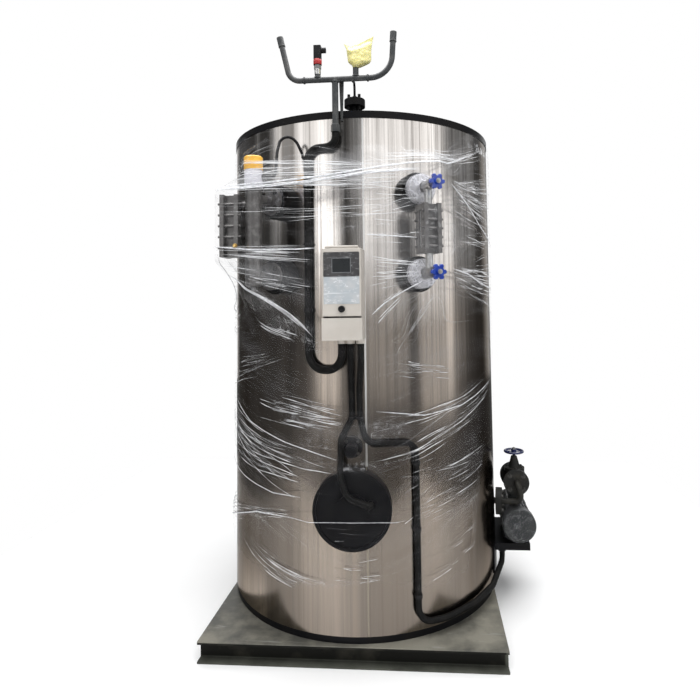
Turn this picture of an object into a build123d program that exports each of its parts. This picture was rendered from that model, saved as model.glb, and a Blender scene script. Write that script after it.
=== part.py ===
"""Vertical steam boiler on a steel base frame, with level gauges, control box and feed pump.

Millimetres, +Z up. The origin lies at floor level on the axis of the drum, and the front
of the boiler faces -Y. Angles round the drum are counted from the front, positive to the
right hand of someone who stands before it.
"""

import os
from math import acos, asin, atan2, cos, degrees, radians, sin, sqrt

from build123d import *

os.makedirs("parts", exist_ok=True)

# Base frame
base_width = 1150
base_depth = 1226
plate_thickness = 4
channel_height = 76
channel_flange = 40
channel_web = 5
channel_flange_thickness = 7
joist_width = 60

# Drum
cladding_radius = 600
cladding_sheet = 1.2
seam_angle = 6.5
seam_gap = 0.8
drum_height = 1994
ring_height = 26
ring_inset = 3
ring_thickness = 4
ring_ledge = 40
rim_height = 28
rim_sheet = 2.5
cover_thickness = 4
insulation_thickness = 80
vessel_wall = 10
vessel_roof_gap = 80
skirt_height = 220
fit_gap = 0.3
pipe_gap = 2

# Top nozzles
flue_radius = 110
flue_wall = 4
flue_height = 120
flue_flange_radius = 140
flue_flange_thickness = 8
steam_y = 330
steam_pipe_radius = 30.15
steam_pipe_wall = 4
steam_height = 150
steam_flange_radius = 82.5
steam_flange_thickness = 18
steam_bolt_circle_radius = 62.5
steam_bolt_hole_radius = 9
branch_x = 15
branch_y = -400
branch_pipe_radius = 17
branch_height = 84
branch_flange_radius = 44
branch_flange_thickness = 16
branch_bolt_circle_radius = 31
branch_bolt_radius = 6
branch_bolt_overhang = 16
impulse_radius = 5
impulse_rise = 74
impulse_bend = 24
impulse_hub_radius = 12
impulse_hub_height = 16
impulse_end_x = 29
branch_flange_edge = 3
impulse_hub_taper = 12

# Instrument header in front of the rim
header_radius = 10.65
header_reach = 27
header_rise = 114
header_left_end = -150
header_right_end = 95
left_arm_corner = -205
left_arm_lean = -32
left_arm_bend = 48
right_arm_corner = 184
right_arm_lean = 9
right_arm_bend = 85
arm_rise = 138
socket_radius = 12.7
socket_length = 36
socket_bore_radius = 9.3
socket_bore_depth = 20
standpipe_x = -31
standpipe_radius = 12
standpipe_drop = 178
union_radius = 17.5
union_length = 27
transmitter_x = -98
transmitter_stub = 43
switch_x = 49
switch_stub = 40
stub_radius = 11
bracket_x = -10
bracket_width = 18
bracket_tip_width = 8
bracket_thickness = 5
bracket_length = 155

# Pressure transmitter and bagged pressure switch
transmitter_neck_radius = 9
transmitter_neck_length = 15
transmitter_body_radius = 15.5
transmitter_body_length = 22
plug_width = 28
plug_height = 52
plug_corner = 4
plug_gland_rise = 35
plug_gland_radius = 10.5
plug_gland_length = 18
bag_depth = 56
bag_neck_radius = 9
bag_neck_length = 13
bag_neck_overlap = 2
bag_outline = (
    (-20, 0),
    (58, 0),
    (62, 8),
    (63, 62),
    (71, 108),
    (44, 84),
    (-16, 72),
    (-44, 84),
    (-30, 50),
    (-28, 10),
)

# Level nozzles and gauges
level_angle = 25
level_low_z = 1438
gauge_spacing = 320
column_spacing = 290
level_pipe_radius = 13.45
collar_radius = 68
collar_length = 55
level_flange_radius = 52.5
level_flange_thickness = 14
level_flange_reach = 62
gauge_reach = 145
valve_body_radius = 19
valve_body_reach = 178
valve_bonnet_radius = 22
valve_bonnet_length = 14
valve_stem_radius = 5
valve_branch_radius = 14
knob_reach = 212
knob_thickness = 12
knob_core_radius = 21
knob_lobe_radius = 8
knob_lobe_circle = 22
knob_lobes = 6
knob_chamfer = 1.5
knob_hub_radius = 11
knob_hub_length = 20
knob_bore_depth = 14
gauge_length = 180
gauge_plate_depth = 80
gauge_plate_thickness = 15
gauge_core_width = 38
gauge_core_depth = 34
gauge_window_width = 16
gauge_window_depth = 5
gauge_edge = 22
stud_radius = 5
stud_row = 30
stud_pitch = 32
stud_overhang = 8
gauge_studs = 5

# Water column on the left
column_radius = 30
column_reach = 175
column_arm_radius = 15
column_overlap = 34
column_foot = 40
column_gauge_offset = 80
column_gauge_length = 228
column_gauge_rise = 67
column_stud_pitch = 40
column_stud_count = 5
column_link_radius = 12
column_link_inset = 33
column_foot_chamfer = 6
column_drain_radius = 9
column_drain_length = 18
probe_head_radius = 33
probe_head_length = 66
probe_cap_radius = 34.5
probe_cap_length = 50
probe_cap_chamfer = 4

# Control box
box_width = 142
box_height = 330
box_low_z = 1200
box_gap = 6
box_depth = 108
box_sheet = 2
box_cover_height = 80
box_cover_width = 146
box_cover_depth = 12
door_depth = 12
door_gap = 0.5
door_side_gap = 1
door_foot_gap = 6
hinge_pin_radius = 2.5
hinge_pin_gap = 0.1
hinge_barrel_radius = 4.5
hinge_barrel_length = 20
hinge_offset = 40
hinge_web = 3
hinge_side_gap = 0.5
hinge_leaf = 20
hinge_clearance = 1
lock_radius = 11
lock_length = 9
lock_rise = 26
door_edge = 2
panel_corner = 4
panel_width = 130
panel_height = 88
panel_thickness = 1.6
panel_top_gap = 14
saddle_width = 110
saddle_height = 26
saddle_inset = 40
gland_radius = 17
gland_length = 16
gland_inset = 49
box_gland_x = (-12, 20, 58)

# Conduits
big_conduit_radius = 15
conduit_radius = 12.5
clip_wall = 2
clip_width = 14
clip_foot_width = 20
clip_foot_sink = 10
conduit_gap = 1
header_conduit_x = -148
header_conduit_drop = 53
header_loop_drop = 116
conduit_turn_drop = 80
conduit_wall_drop = 200
conduit_tie_drop = 295
pump_conduit_angle = 24.3
pump_conduit_low = 138
pump_turn_drop = 394
header_clip_heights = (1300, 1780)
pump_clip_heights = (232, 476, 720)

# Fittings on the front
cover_angle = 1.4
cover_z = 572
cover_radius = 146.5
cover_reach = 34
cover_rim_width = 12
cover_recess = 5
cover_boss_radius = 61.5
cover_boss_height = 9
cover_gland_x = 72
cover_gland_z = 22
cover_gland_height = 6
cover_conduit_gap = 17
sight_angle = 1.6
sight_z = 797
sight_pipe_radius = 16.85
sight_flange_radius = 37.5
sight_flange_reach = 6
sight_flange_thickness = 12
sight_cap_radius = 22
sight_cap_length = 62
sight_lug_radius = 8
sight_lug_length = 16
sight_lug_drop = 4
sight_cap_edge = 4

# Feed pump group on the right
feed_angle = 80
feed_z = 431
feed_pipe_radius = 13.45
feed_flange_radius = 57.5
feed_flange_thickness = 13.5
feed_flange_reach = 8.5
feed_turn_reach = 105
feed_upper_bend = 26
feed_lower_bend = 30
pump_reach = 96
motor_z = 334
motor_front = -150
motor_back = 78
motor_frame_radius = 68
motor_cowl_radius = 74
motor_cowl_length = 46
motor_shaft_height = 80
motor_foot_length = 110
motor_foot_width = 124
motor_foot_thickness = 12
motor_fin_height = 5
motor_fin_width = 3
motor_fin_count = 24
motor_saddle_width = 82
motor_saddle_height = 32
motor_edge = 10
terminal_box_width = 64
terminal_box_rise = 28
terminal_box_shift = 20
pump_back = 150
pump_radius = 70
pump_suction_length = 40
pump_suction_radius = 21
pump_suction_bore = 13
pump_suction_flange_radius = 50
pump_riser_y = 114
pump_riser_bend = 40
pump_foot_width = 74
pump_foot_length = 50
pump_foot_height = 38
pump_edge = 10
feed_run = 36
valve_rise = 171
valve_half_length = 60
valve_ball_radius = 38
valve_throat_radius = 30
valve_foot_radius = 14
valve_pipe_wall = 8
valve_flange_radius = 57.5
valve_flange_thickness = 14
valve_cap_radius = 46
valve_cap_rise = 40
valve_cap_thickness = 15
valve_neck_rise = 105
valve_neck_radius = 13
valve_neck_flare = 14
feed_stem_radius = 6
wheel_rise = 126
wheel_radius = 46
wheel_rim_radius = 5
wheel_hub_radius = 12
wheel_hub_length = 20
wheel_bore_depth = 14
wheel_spoke_width = 8
wheel_spokes = 4
shelf_thickness = 6
shelf_skirt = 30
shelf_side_margin = 46
shelf_end_margin = 18
shelf_pad_angle = 34
shelf_pad_height = 110
shelf_pad_thickness = 5
shelf_gland_reach = 22
shelf_gland_inset = 32
shelf_gland_drop = 40

# Blow-down nozzle at the rear
blowdown_angle = 180
blowdown_z = 190
blowdown_pipe_radius = 16.85
blowdown_bore_radius = 13
blowdown_reach = 72
blowdown_flange_radius = 57.5
blowdown_flange_thickness = 16

# Cable of the level probe, from its head to the header conduit
probe_cable_radius = 5.5
probe_gland_radius = 9
probe_gland_length = 14
probe_gland_rise = 40
probe_cable_route = (
    (-250, -660, 1905),
    (-244, -638, 1955),
    (-219, -632, 1977),
    (-187, -618, 1960),
)
probe_cable_bends = (16, 90, 26, 34, 60)
probe_entry_drop = 50
probe_entry_lean = 33

# Stretch film where it stands off the drum
film_thickness = 5
film_gap = 4
film_reach = 197
film_corner_angle = 3.6
film_low_drop = 168
film_full_drop = 38
film_cap_gap = 7
film_edge_rise = 60
film_low_share = 0.45
film_high_share = 0.6
film_left_end = -84
film_right_end = 78
film_window_side = 12
film_window_foot = 25
film_window_head = 30

# Heights and radii that follow from the sizes above
base_top = channel_height + plate_thickness
cladding_low = base_top + ring_height
drum_top = base_top + drum_height
cover_low = drum_top - cover_thickness
cladding_inside = cladding_radius - cladding_sheet
ring_radius = cladding_radius - ring_inset
vessel_radius = cladding_radius - insulation_thickness
rim_inside = cladding_radius + fit_gap
rim_radius = rim_inside + rim_sheet
vessel_top = drum_top - vessel_roof_gap
header_y = -(rim_radius + header_reach)
header_z = drum_top + header_rise
level_flange_start = cladding_radius + level_flange_reach
gauge_radius = cladding_radius + gauge_reach
valve_body_end = cladding_radius + valve_body_reach
knob_start = cladding_radius + knob_reach
column_distance = cladding_radius + column_reach
column_gauge_low = level_low_z + column_gauge_rise
box_back = cladding_radius + box_gap
box_front = box_back + box_depth
gland_y = -(box_back + gland_inset)
box_top = box_low_z + box_height
door_low_z = box_low_z + box_cover_height + door_foot_gap
door_back = box_front + door_gap
door_front = door_back + door_depth
cover_front = cladding_radius + cover_reach
sight_flange_start = cladding_radius + sight_flange_reach
feed_flange_start = cladding_radius + feed_flange_reach
pump_x = cladding_radius + pump_reach
valve_z = motor_z + valve_rise
feed_face = feed_flange_start + feed_flange_thickness
feed_turn_y = -(feed_face + feed_turn_reach) * cos(radians(feed_angle))
valve_y = feed_turn_y + feed_run + valve_half_length
shelf_top = motor_z - motor_shaft_height
shelf_reach = pump_x + shelf_side_margin
shelf_front = motor_front + shelf_end_margin
shelf_back = pump_back + shelf_end_margin
shelf_gland_x = cladding_radius + shelf_gland_reach
shelf_gland_y = shelf_front + shelf_gland_inset
shelf_gland_low = shelf_top - shelf_skirt - gland_length
blowdown_end = cladding_radius + blowdown_reach


def drum_point(angle, radius, height):
    """Point at an angle from the front, a distance from the axis and a height."""
    turn = radians(angle)
    return (radius * sin(turn), -radius * cos(turn), height)


def radial_plane(angle, radius, height):
    """Plane that faces outward from the drum; its x runs to the right and its y up."""
    turn = radians(angle)
    return Plane(
        origin=drum_point(angle, radius, height),
        x_dir=(cos(turn), sin(turn), 0),
        z_dir=(sin(turn), -cos(turn), 0),
    )


def section_plane(angle):
    """Upright plane through the drum's axis; its x runs outward and its y up."""
    turn = radians(angle)
    return Plane(
        origin=(0, 0, 0),
        x_dir=(sin(turn), -cos(turn), 0),
        z_dir=(-cos(turn), -sin(turn), 0),
    )


def save(piece, label):
    """Label a finished piece and write it as its own file."""
    piece.part.label = label
    export_step(piece.part, f"parts/{label}.step")


def channel_profile():
    """C section with its web at x = 0, its flanges reaching to +x and its foot at y = 0."""
    top = channel_height - channel_flange_thickness
    with BuildSketch() as profile:
        with BuildLine():
            Polyline(
                (0, 0),
                (channel_flange, 0),
                (channel_flange, channel_flange_thickness),
                (channel_web, channel_flange_thickness),
                (channel_web, top),
                (channel_flange, top),
                (channel_flange, channel_height),
                (0, channel_height),
                close=True,
            )
        make_face()
    return profile.sketch


def rail(outward, distance, length):
    """Channel whose flanges face outward, with its toes at a distance from the axis."""
    side = Vector(*outward)
    start = side * (distance - channel_flange)
    plane = Plane(origin=start, x_dir=side, z_dir=side.cross(Vector(0, 0, 1)))
    with BuildPart() as piece:
        with BuildSketch(plane):
            add(channel_profile())
        extrude(amount=length / 2, both=True)
    return piece


# Base frame: two long channels at the front and rear, two between them, one joist
side_length = base_depth - 2 * channel_flange
for name, outward, distance, length in (
    ("base_front_rail", (0, -1, 0), base_depth / 2, base_width),
    ("base_rear_rail", (0, 1, 0), base_depth / 2, base_width),
    ("base_left_rail", (-1, 0, 0), base_width / 2, side_length),
    ("base_right_rail", (1, 0, 0), base_width / 2, side_length),
):
    save(rail(outward, distance, length), name)

joist_length = base_width - 2 * channel_flange
with BuildPart() as base_joist:
    with BuildSketch(Plane.YZ):
        Rectangle(joist_width, channel_flange_thickness, align=(Align.CENTER, Align.MIN))
        Rectangle(channel_web, channel_height, align=(Align.CENTER, Align.MIN))
        with Locations((0, channel_height - channel_flange_thickness)):
            Rectangle(joist_width, channel_flange_thickness, align=(Align.CENTER, Align.MIN))
    extrude(amount=joist_length / 2, both=True)
save(base_joist, "base_joist")

with BuildPart() as base_plate:
    with BuildSketch(Plane.XY.offset(channel_height)):
        Rectangle(base_width, base_depth)
    extrude(amount=plate_thickness)
save(base_plate, "base_plate")

# Angle ring that the cladding stands on
with BuildPart() as bottom_ring:
    with BuildSketch(Plane.XZ):
        with BuildLine():
            Polyline(
                (ring_radius - ring_thickness, base_top),
                (ring_radius, base_top),
                (ring_radius, cladding_low - ring_thickness),
                (cladding_radius, cladding_low - ring_thickness),
                (cladding_radius, cladding_low),
                (cladding_radius - ring_ledge, cladding_low),
                (cladding_radius - ring_ledge, cladding_low - ring_thickness),
                (ring_radius - ring_thickness, cladding_low - ring_thickness),
                close=True,
            )
        make_face()
    revolve(axis=Axis.Z)
save(bottom_ring, "bottom_ring")

# Pressure vessel inside: shell, flat top head, bottom head and skirt
bottom_head_z = base_top + skirt_height
with BuildPart() as pressure_vessel:
    with BuildSketch(Plane.XY.offset(base_top)):
        Circle(vessel_radius)
    extrude(amount=vessel_top - base_top)
    with BuildSketch(Plane.XY.offset(base_top)):
        Circle(vessel_radius - vessel_wall)
    extrude(amount=skirt_height - vessel_wall, mode=Mode.SUBTRACT)
    with BuildSketch(Plane.XY.offset(bottom_head_z)):
        Circle(vessel_radius - vessel_wall)
    extrude(amount=vessel_top - vessel_wall - bottom_head_z, mode=Mode.SUBTRACT)
save(pressure_vessel, "pressure_vessel")

# Radial pipes that pass through the insulation and the cladding
gauge_high_z = level_low_z + gauge_spacing
column_high_z = level_low_z + column_spacing
level_places = (
    (level_angle, gauge_high_z),
    (level_angle, level_low_z),
    (-level_angle, column_high_z),
    (-level_angle, level_low_z),
)
radial_pipes = [(angle, height, level_pipe_radius) for angle, height in level_places]
radial_pipes.append((sight_angle, sight_z, sight_pipe_radius))
radial_pipes.append((feed_angle, feed_z, feed_pipe_radius))
radial_pipes.append((blowdown_angle, blowdown_z, blowdown_pipe_radius))
roof_pipes = (
    (0, 0, flue_radius),
    (0, steam_y, steam_pipe_radius),
    (branch_x, branch_y, branch_pipe_radius),
)


# Clearance holes of the pipes, cut in the insulation, the cladding and the top cover
with BuildPart() as radial_holes:
    for angle, height, radius in radial_pipes:
        with BuildSketch(radial_plane(angle, vessel_radius / 2, height)):
            Circle(radius + pipe_gap)
        extrude(amount=cladding_radius)

with BuildPart() as roof_holes:
    for x, y, radius in roof_pipes:
        with BuildSketch(Plane.XY.offset(vessel_top - pipe_gap)):
            with Locations((x, y)):
                Circle(radius + pipe_gap)
        extrude(amount=vessel_roof_gap + 2 * pipe_gap)

# Insulation: a wall round the vessel and a mat over its head
with BuildPart() as insulation:
    with BuildSketch(Plane.XY.offset(cladding_low)):
        Circle(cladding_inside - fit_gap)
    extrude(amount=cover_low - cladding_low - fit_gap)
    with BuildSketch(Plane.XY.offset(cladding_low)):
        Circle(vessel_radius + fit_gap)
    extrude(amount=vessel_top + fit_gap - cladding_low, mode=Mode.SUBTRACT)
    add(roof_holes.part, mode=Mode.SUBTRACT)
    add(radial_holes.part, mode=Mode.SUBTRACT)
save(insulation, "insulation")

# Polished cladding: two half shells that meet at a front seam and a rear seam
half_turn = 180 - degrees(2 * seam_gap / cladding_radius)
for name, start_angle in (("cladding_right", seam_angle), ("cladding_left", seam_angle + 180)):
    with BuildPart() as cladding:
        with BuildSketch(section_plane(start_angle)):
            with Locations((cladding_inside, cladding_low)):
                Rectangle(cladding_sheet, cover_low - cladding_low, align=(Align.MIN, Align.MIN))
        revolve(axis=Axis.Z, revolution_arc=half_turn)
        add(radial_holes.part, mode=Mode.SUBTRACT)
    save(cladding, name)

# Top cover: a plate with a rim that hangs over the cladding
with BuildPart() as top_cover:
    with BuildSketch(Plane.XZ):
        with BuildLine():
            Polyline(
                (0, cover_low),
                (rim_inside, cover_low),
                (rim_inside, drum_top - rim_height),
                (rim_radius, drum_top - rim_height),
                (rim_radius, drum_top),
                (0, drum_top),
                close=True,
            )
        make_face()
    revolve(axis=Axis.Z)
    add(roof_holes.part, mode=Mode.SUBTRACT)
save(top_cover, "top_cover")

# Flue collar in the middle of the top
flue_top = drum_top + flue_height
with BuildPart() as flue_collar:
    with BuildSketch(Plane.XY.offset(vessel_top)):
        Circle(flue_radius)
    extrude(amount=flue_top - vessel_top)
    with BuildSketch(Plane.XY.offset(flue_top - flue_flange_thickness)):
        Circle(flue_flange_radius)
    extrude(amount=flue_flange_thickness)
    with BuildSketch(Plane.XY.offset(vessel_top)):
        Circle(flue_radius - flue_wall)
    extrude(amount=flue_top - vessel_top, mode=Mode.SUBTRACT)
save(flue_collar, "flue_collar")

# Steam outlet: a flanged nozzle behind the flue
steam_top = drum_top + steam_height
with BuildPart() as steam_outlet:
    with BuildSketch(Plane.XY.offset(vessel_top)):
        with Locations((0, steam_y)):
            Circle(steam_pipe_radius)
    extrude(amount=steam_top - vessel_top)
    with BuildSketch(Plane.XY.offset(steam_top - steam_flange_thickness)):
        with Locations((0, steam_y)):
            Circle(steam_flange_radius)
    extrude(amount=steam_flange_thickness)
    with BuildSketch(Plane.XY.offset(vessel_top)):
        with Locations((0, steam_y)):
            Circle(steam_pipe_radius - steam_pipe_wall)
    extrude(amount=steam_top - vessel_top, mode=Mode.SUBTRACT)
    with BuildSketch(Plane.XY.offset(steam_top - steam_flange_thickness)):
        with Locations((0, steam_y)):
            with PolarLocations(steam_bolt_circle_radius, 4, start_angle=45):
                Circle(steam_bolt_hole_radius)
    extrude(amount=steam_flange_thickness, mode=Mode.SUBTRACT)
save(steam_outlet, "steam_outlet")

# Instrument branch: neck, bolted flange pair and the thin tube to the header
branch_flange_low = drum_top + branch_height
branch_flange_high = branch_flange_low + 2 * branch_flange_thickness
branch_hub_top = branch_flange_high + impulse_hub_height
impulse_top = branch_flange_high + impulse_rise
with BuildPart() as instrument_branch:
    with BuildSketch(Plane.XY.offset(vessel_top)):
        with Locations((branch_x, branch_y)):
            Circle(branch_pipe_radius)
    extrude(amount=branch_flange_low - vessel_top)
    with BuildSketch(Plane.XY.offset(branch_flange_low)):
        with Locations((branch_x, branch_y)):
            Circle(branch_flange_radius)
    extrude(amount=2 * branch_flange_thickness)
    upper_edge = instrument_branch.edges().filter_by(GeomType.CIRCLE).group_by(Axis.Z)[-1]
    fillet(upper_edge, radius=branch_flange_edge)
    with BuildSketch(Plane.XY.offset(branch_flange_low - branch_bolt_overhang)):
        with Locations((branch_x, branch_y)):
            with PolarLocations(branch_bolt_circle_radius, 4, start_angle=45):
                Circle(branch_bolt_radius)
    extrude(amount=2 * (branch_flange_thickness + branch_bolt_overhang))
    with BuildSketch(Plane.XY.offset(branch_flange_high)):
        with Locations((branch_x, branch_y)):
            Circle(impulse_hub_radius)
    extrude(amount=impulse_hub_height, taper=impulse_hub_taper)
    with BuildLine() as impulse_route:
        FilletPolyline(
            (branch_x, branch_y, branch_flange_high),
            (branch_x, branch_y, impulse_top),
            (impulse_end_x, header_y, header_z),
            radius=impulse_bend,
        )
    with BuildSketch(Plane.XY.offset(branch_flange_high)):
        with Locations((branch_x, branch_y)):
            Circle(impulse_radius)
    sweep(path=impulse_route.wires()[0])
    with BuildSketch(Plane.YZ.offset(header_left_end)):
        with Locations((header_y, header_z)):
            Circle(header_radius)
    extrude(amount=header_right_end - header_left_end, mode=Mode.SUBTRACT)
save(instrument_branch, "instrument_branch")

# Instrument header: the straight run with its stubs and the standpipe down its front
with BuildPart() as instrument_header:
    with BuildSketch(Plane.YZ.offset(header_left_end)):
        with Locations((header_y, header_z)):
            Circle(header_radius)
    extrude(amount=header_right_end - header_left_end)
    for x, length in ((transmitter_x, transmitter_stub), (switch_x, switch_stub)):
        with BuildSketch(Plane.XY.offset(header_z)):
            with Locations((x, header_y)):
                Circle(stub_radius)
        extrude(amount=length)
    with BuildSketch(Plane.XY.offset(header_z - standpipe_drop)):
        with Locations((standpipe_x, header_y)):
            Circle(standpipe_radius)
    extrude(amount=standpipe_drop)
    with BuildSketch(Plane.XY.offset(header_z - standpipe_drop - union_length)):
        with Locations((standpipe_x, header_y)):
            RegularPolygon(radius=union_radius, side_count=6)
    extrude(amount=union_length)
save(instrument_header, "instrument_header")
union_low = header_z - standpipe_drop - union_length

# Bent arms of the header, each with an open screwed socket at its end
for name, start, corner, lean, bend in (
    ("header_left_arm", header_left_end, left_arm_corner, left_arm_lean, left_arm_bend),
    ("header_right_arm", header_right_end, right_arm_corner, right_arm_lean, right_arm_bend),
):
    run = Vector(lean, 0, arm_rise)
    tip = Vector(corner, header_y, header_z) + run
    along = run.normalized()
    with BuildPart() as arm:
        with BuildLine() as route:
            FilletPolyline(
                (start, header_y, header_z),
                (corner, header_y, header_z),
                tuple(tip),
                radius=bend,
            )
        with BuildSketch(Plane(origin=(start, header_y, header_z), z_dir=(corner - start, 0, 0))):
            Circle(header_radius)
        sweep(path=route.wires()[0])
        with BuildSketch(Plane(origin=tip, z_dir=along)):
            Circle(socket_radius)
        extrude(amount=socket_length)
        mouth = tip + along * socket_length
        with BuildSketch(Plane(origin=mouth, z_dir=along * -1)):
            Circle(socket_bore_radius)
        extrude(amount=socket_bore_depth, mode=Mode.SUBTRACT)
    save(arm, name)

# Flat bar that holds the header to the rim
with BuildPart() as header_bracket:
    bar_plane = Plane(
        origin=(bracket_x, -rim_radius - fit_gap / 2, header_z),
        x_dir=(1, 0, 0),
        z_dir=(0, -1, 0),
    )
    with BuildSketch(bar_plane):
        with BuildLine():
            Polyline(
                (-bracket_width / 2, bracket_thickness / 2),
                (bracket_width / 2, bracket_thickness / 2),
                (bracket_tip_width / 2, -bracket_length),
                (-bracket_tip_width / 2, -bracket_length),
                close=True,
            )
        make_face()
    extrude(amount=bracket_thickness)
    with BuildSketch(bar_plane):
        Rectangle(bracket_width, bracket_thickness)
    extrude(amount=header_reach)
    with BuildSketch(Plane.YZ.offset(header_left_end)):
        with Locations((header_y, header_z)):
            Circle(header_radius)
    extrude(amount=header_right_end - header_left_end, mode=Mode.SUBTRACT)
save(header_bracket, "header_bracket")

# Pressure transmitter on the left stub: neck, ring and angled plug
neck_low = header_z + transmitter_stub
ring_low = neck_low + transmitter_neck_length
plug_low = ring_low + transmitter_body_length
with BuildPart() as pressure_transmitter:
    with BuildSketch(Plane.XY.offset(neck_low)):
        with Locations((transmitter_x, header_y)):
            Circle(transmitter_neck_radius)
    extrude(amount=transmitter_neck_length)
    with BuildSketch(Plane.XY.offset(ring_low)):
        with Locations((transmitter_x, header_y)):
            Circle(transmitter_body_radius)
    extrude(amount=transmitter_body_length)
    with BuildSketch(Plane.XY.offset(plug_low)):
        with Locations((transmitter_x, header_y)):
            RectangleRounded(plug_width, plug_width, plug_corner)
    extrude(amount=plug_height)
    gland_plane = Plane(
        origin=(transmitter_x, header_y, plug_low + plug_gland_rise),
        z_dir=(1, 0, 0),
    )
    with BuildSketch(gland_plane):
        Circle(plug_gland_radius)
    extrude(amount=plug_width / 2 + plug_gland_length)
save(pressure_transmitter, "pressure_transmitter")

# Pressure switch tied in its bag on the right stub
bag_low = header_z + switch_stub + bag_neck_length
with BuildPart() as switch_bag:
    with BuildSketch(Plane.XY.offset(header_z + switch_stub)):
        with Locations((switch_x, header_y)):
            Circle(bag_neck_radius)
    extrude(amount=bag_neck_length + bag_neck_overlap)
    bag_plane = Plane(
        origin=(switch_x, header_y, bag_low),
        x_dir=(1, 0, 0),
        z_dir=(0, -1, 0),
    )
    with BuildSketch(bag_plane):
        with BuildLine():
            Polyline(*bag_outline, close=True)
        make_face()
    extrude(amount=bag_depth / 2, both=True)
save(switch_bag, "switch_bag")

# Level nozzles: pipe, black insulated collar and flange, two on each side
level_flange_face = level_flange_start + level_flange_thickness
with BuildPart() as level_nozzles:
    for angle, height in level_places:
        with BuildSketch(radial_plane(angle, cladding_radius / 2, height)):
            Circle(collar_radius)
        extrude(amount=cladding_radius / 2 + collar_length)
    with BuildSketch(Plane.XY):
        Circle(cladding_radius)
    extrude(amount=drum_top, mode=Mode.SUBTRACT)
    for angle, height in level_places:
        with BuildSketch(radial_plane(angle, vessel_radius, height)):
            Circle(level_pipe_radius)
        extrude(amount=level_flange_start - vessel_radius)
        with BuildSketch(radial_plane(angle, level_flange_start, height)):
            Circle(level_flange_radius)
        extrude(amount=level_flange_thickness)
    with BuildSketch(Plane.XY):
        Circle(vessel_radius)
    extrude(amount=drum_top, mode=Mode.SUBTRACT)
save(level_nozzles, "level_nozzles")

# Shut-off valves of the right gauge, with a branch that turns to the gauge between them
gauge_mid_z = (gauge_high_z + level_low_z) / 2
gauge_top = gauge_mid_z + gauge_length / 2
gauge_low = gauge_mid_z - gauge_length / 2
for name, height, branch_end in (
    ("upper_gauge_valve", gauge_high_z, gauge_top),
    ("lower_gauge_valve", level_low_z, gauge_low),
):
    with BuildPart() as gauge_valve:
        with BuildSketch(radial_plane(level_angle, level_flange_face, height)):
            Circle(level_flange_radius)
        extrude(amount=level_flange_thickness)
        with BuildSketch(radial_plane(level_angle, level_flange_face, height)):
            Circle(valve_body_radius)
        extrude(amount=valve_body_end - level_flange_face)
        with BuildSketch(radial_plane(level_angle, valve_body_end, height)):
            RegularPolygon(radius=valve_bonnet_radius, side_count=6)
        extrude(amount=valve_bonnet_length)
        with BuildSketch(radial_plane(level_angle, valve_body_end, height)):
            Circle(valve_stem_radius)
        extrude(amount=knob_start + knob_bore_depth - fit_gap - valve_body_end)
        gauge_axis = drum_point(level_angle, gauge_radius, height)
        with BuildSketch(Plane(origin=gauge_axis, z_dir=(0, 0, branch_end - height))):
            Circle(valve_branch_radius)
        extrude(amount=abs(branch_end - height))
    save(gauge_valve, name)

# Lobed handwheels of the gauge valves
for name, height in (
    ("upper_gauge_handwheel", gauge_high_z),
    ("lower_gauge_handwheel", level_low_z),
):
    with BuildPart() as handwheel:
        with BuildSketch(radial_plane(level_angle, knob_start, height)):
            Circle(knob_core_radius)
            with PolarLocations(knob_lobe_circle, knob_lobes):
                Circle(knob_lobe_radius)
        extrude(amount=knob_thickness)
        chamfer(handwheel.edges().filter_by(GeomType.CIRCLE), length=knob_chamfer)
        with BuildSketch(radial_plane(level_angle, knob_start, height)):
            Circle(knob_hub_radius)
        extrude(amount=knob_hub_length)
        with BuildSketch(radial_plane(level_angle, knob_start, height)):
            Circle(valve_stem_radius + fit_gap)
        extrude(amount=knob_bore_depth, mode=Mode.SUBTRACT)
    save(handwheel, name)


def gauge_body(plane, length, pitch, count):
    """Flat-glass gauge: core, two slotted cover plates and the studs that clamp them.

    The plane's x crosses the plates, its y runs up and its z along their depth.
    """
    plate_inside = gauge_core_width / 2
    plate_outside = plate_inside + gauge_plate_thickness
    with BuildPart() as body:
        with BuildSketch(plane):
            Rectangle(gauge_core_width, length)
        extrude(amount=gauge_core_depth / 2, both=True)
        with BuildSketch(plane):
            with Locations((plate_inside, 0)):
                Rectangle(gauge_plate_thickness, length, align=(Align.MIN, Align.CENTER))
            with Locations((-plate_inside, 0)):
                Rectangle(gauge_plate_thickness, length, align=(Align.MAX, Align.CENTER))
        extrude(amount=gauge_plate_depth / 2, both=True)
        with BuildSketch(plane):
            for side in (-1, 1):
                with Locations((side * plate_outside, 0)):
                    Rectangle(2 * gauge_window_depth, length - 2 * gauge_edge)
        extrude(amount=gauge_window_width / 2, both=True, mode=Mode.SUBTRACT)
        across = Plane(
            origin=plane.origin - plane.x_dir * (plate_outside + stud_overhang),
            x_dir=plane.z_dir,
            z_dir=plane.x_dir,
        )
        with BuildSketch(across):
            with GridLocations(2 * stud_row, pitch, 2, count):
                RegularPolygon(radius=stud_radius, side_count=6)
        extrude(amount=2 * (plate_outside + stud_overhang))
    return body


save(
    gauge_body(
        radial_plane(level_angle, gauge_radius, gauge_mid_z),
        gauge_length,
        stud_pitch,
        gauge_studs,
    ),
    "level_gauge",
)

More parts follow.
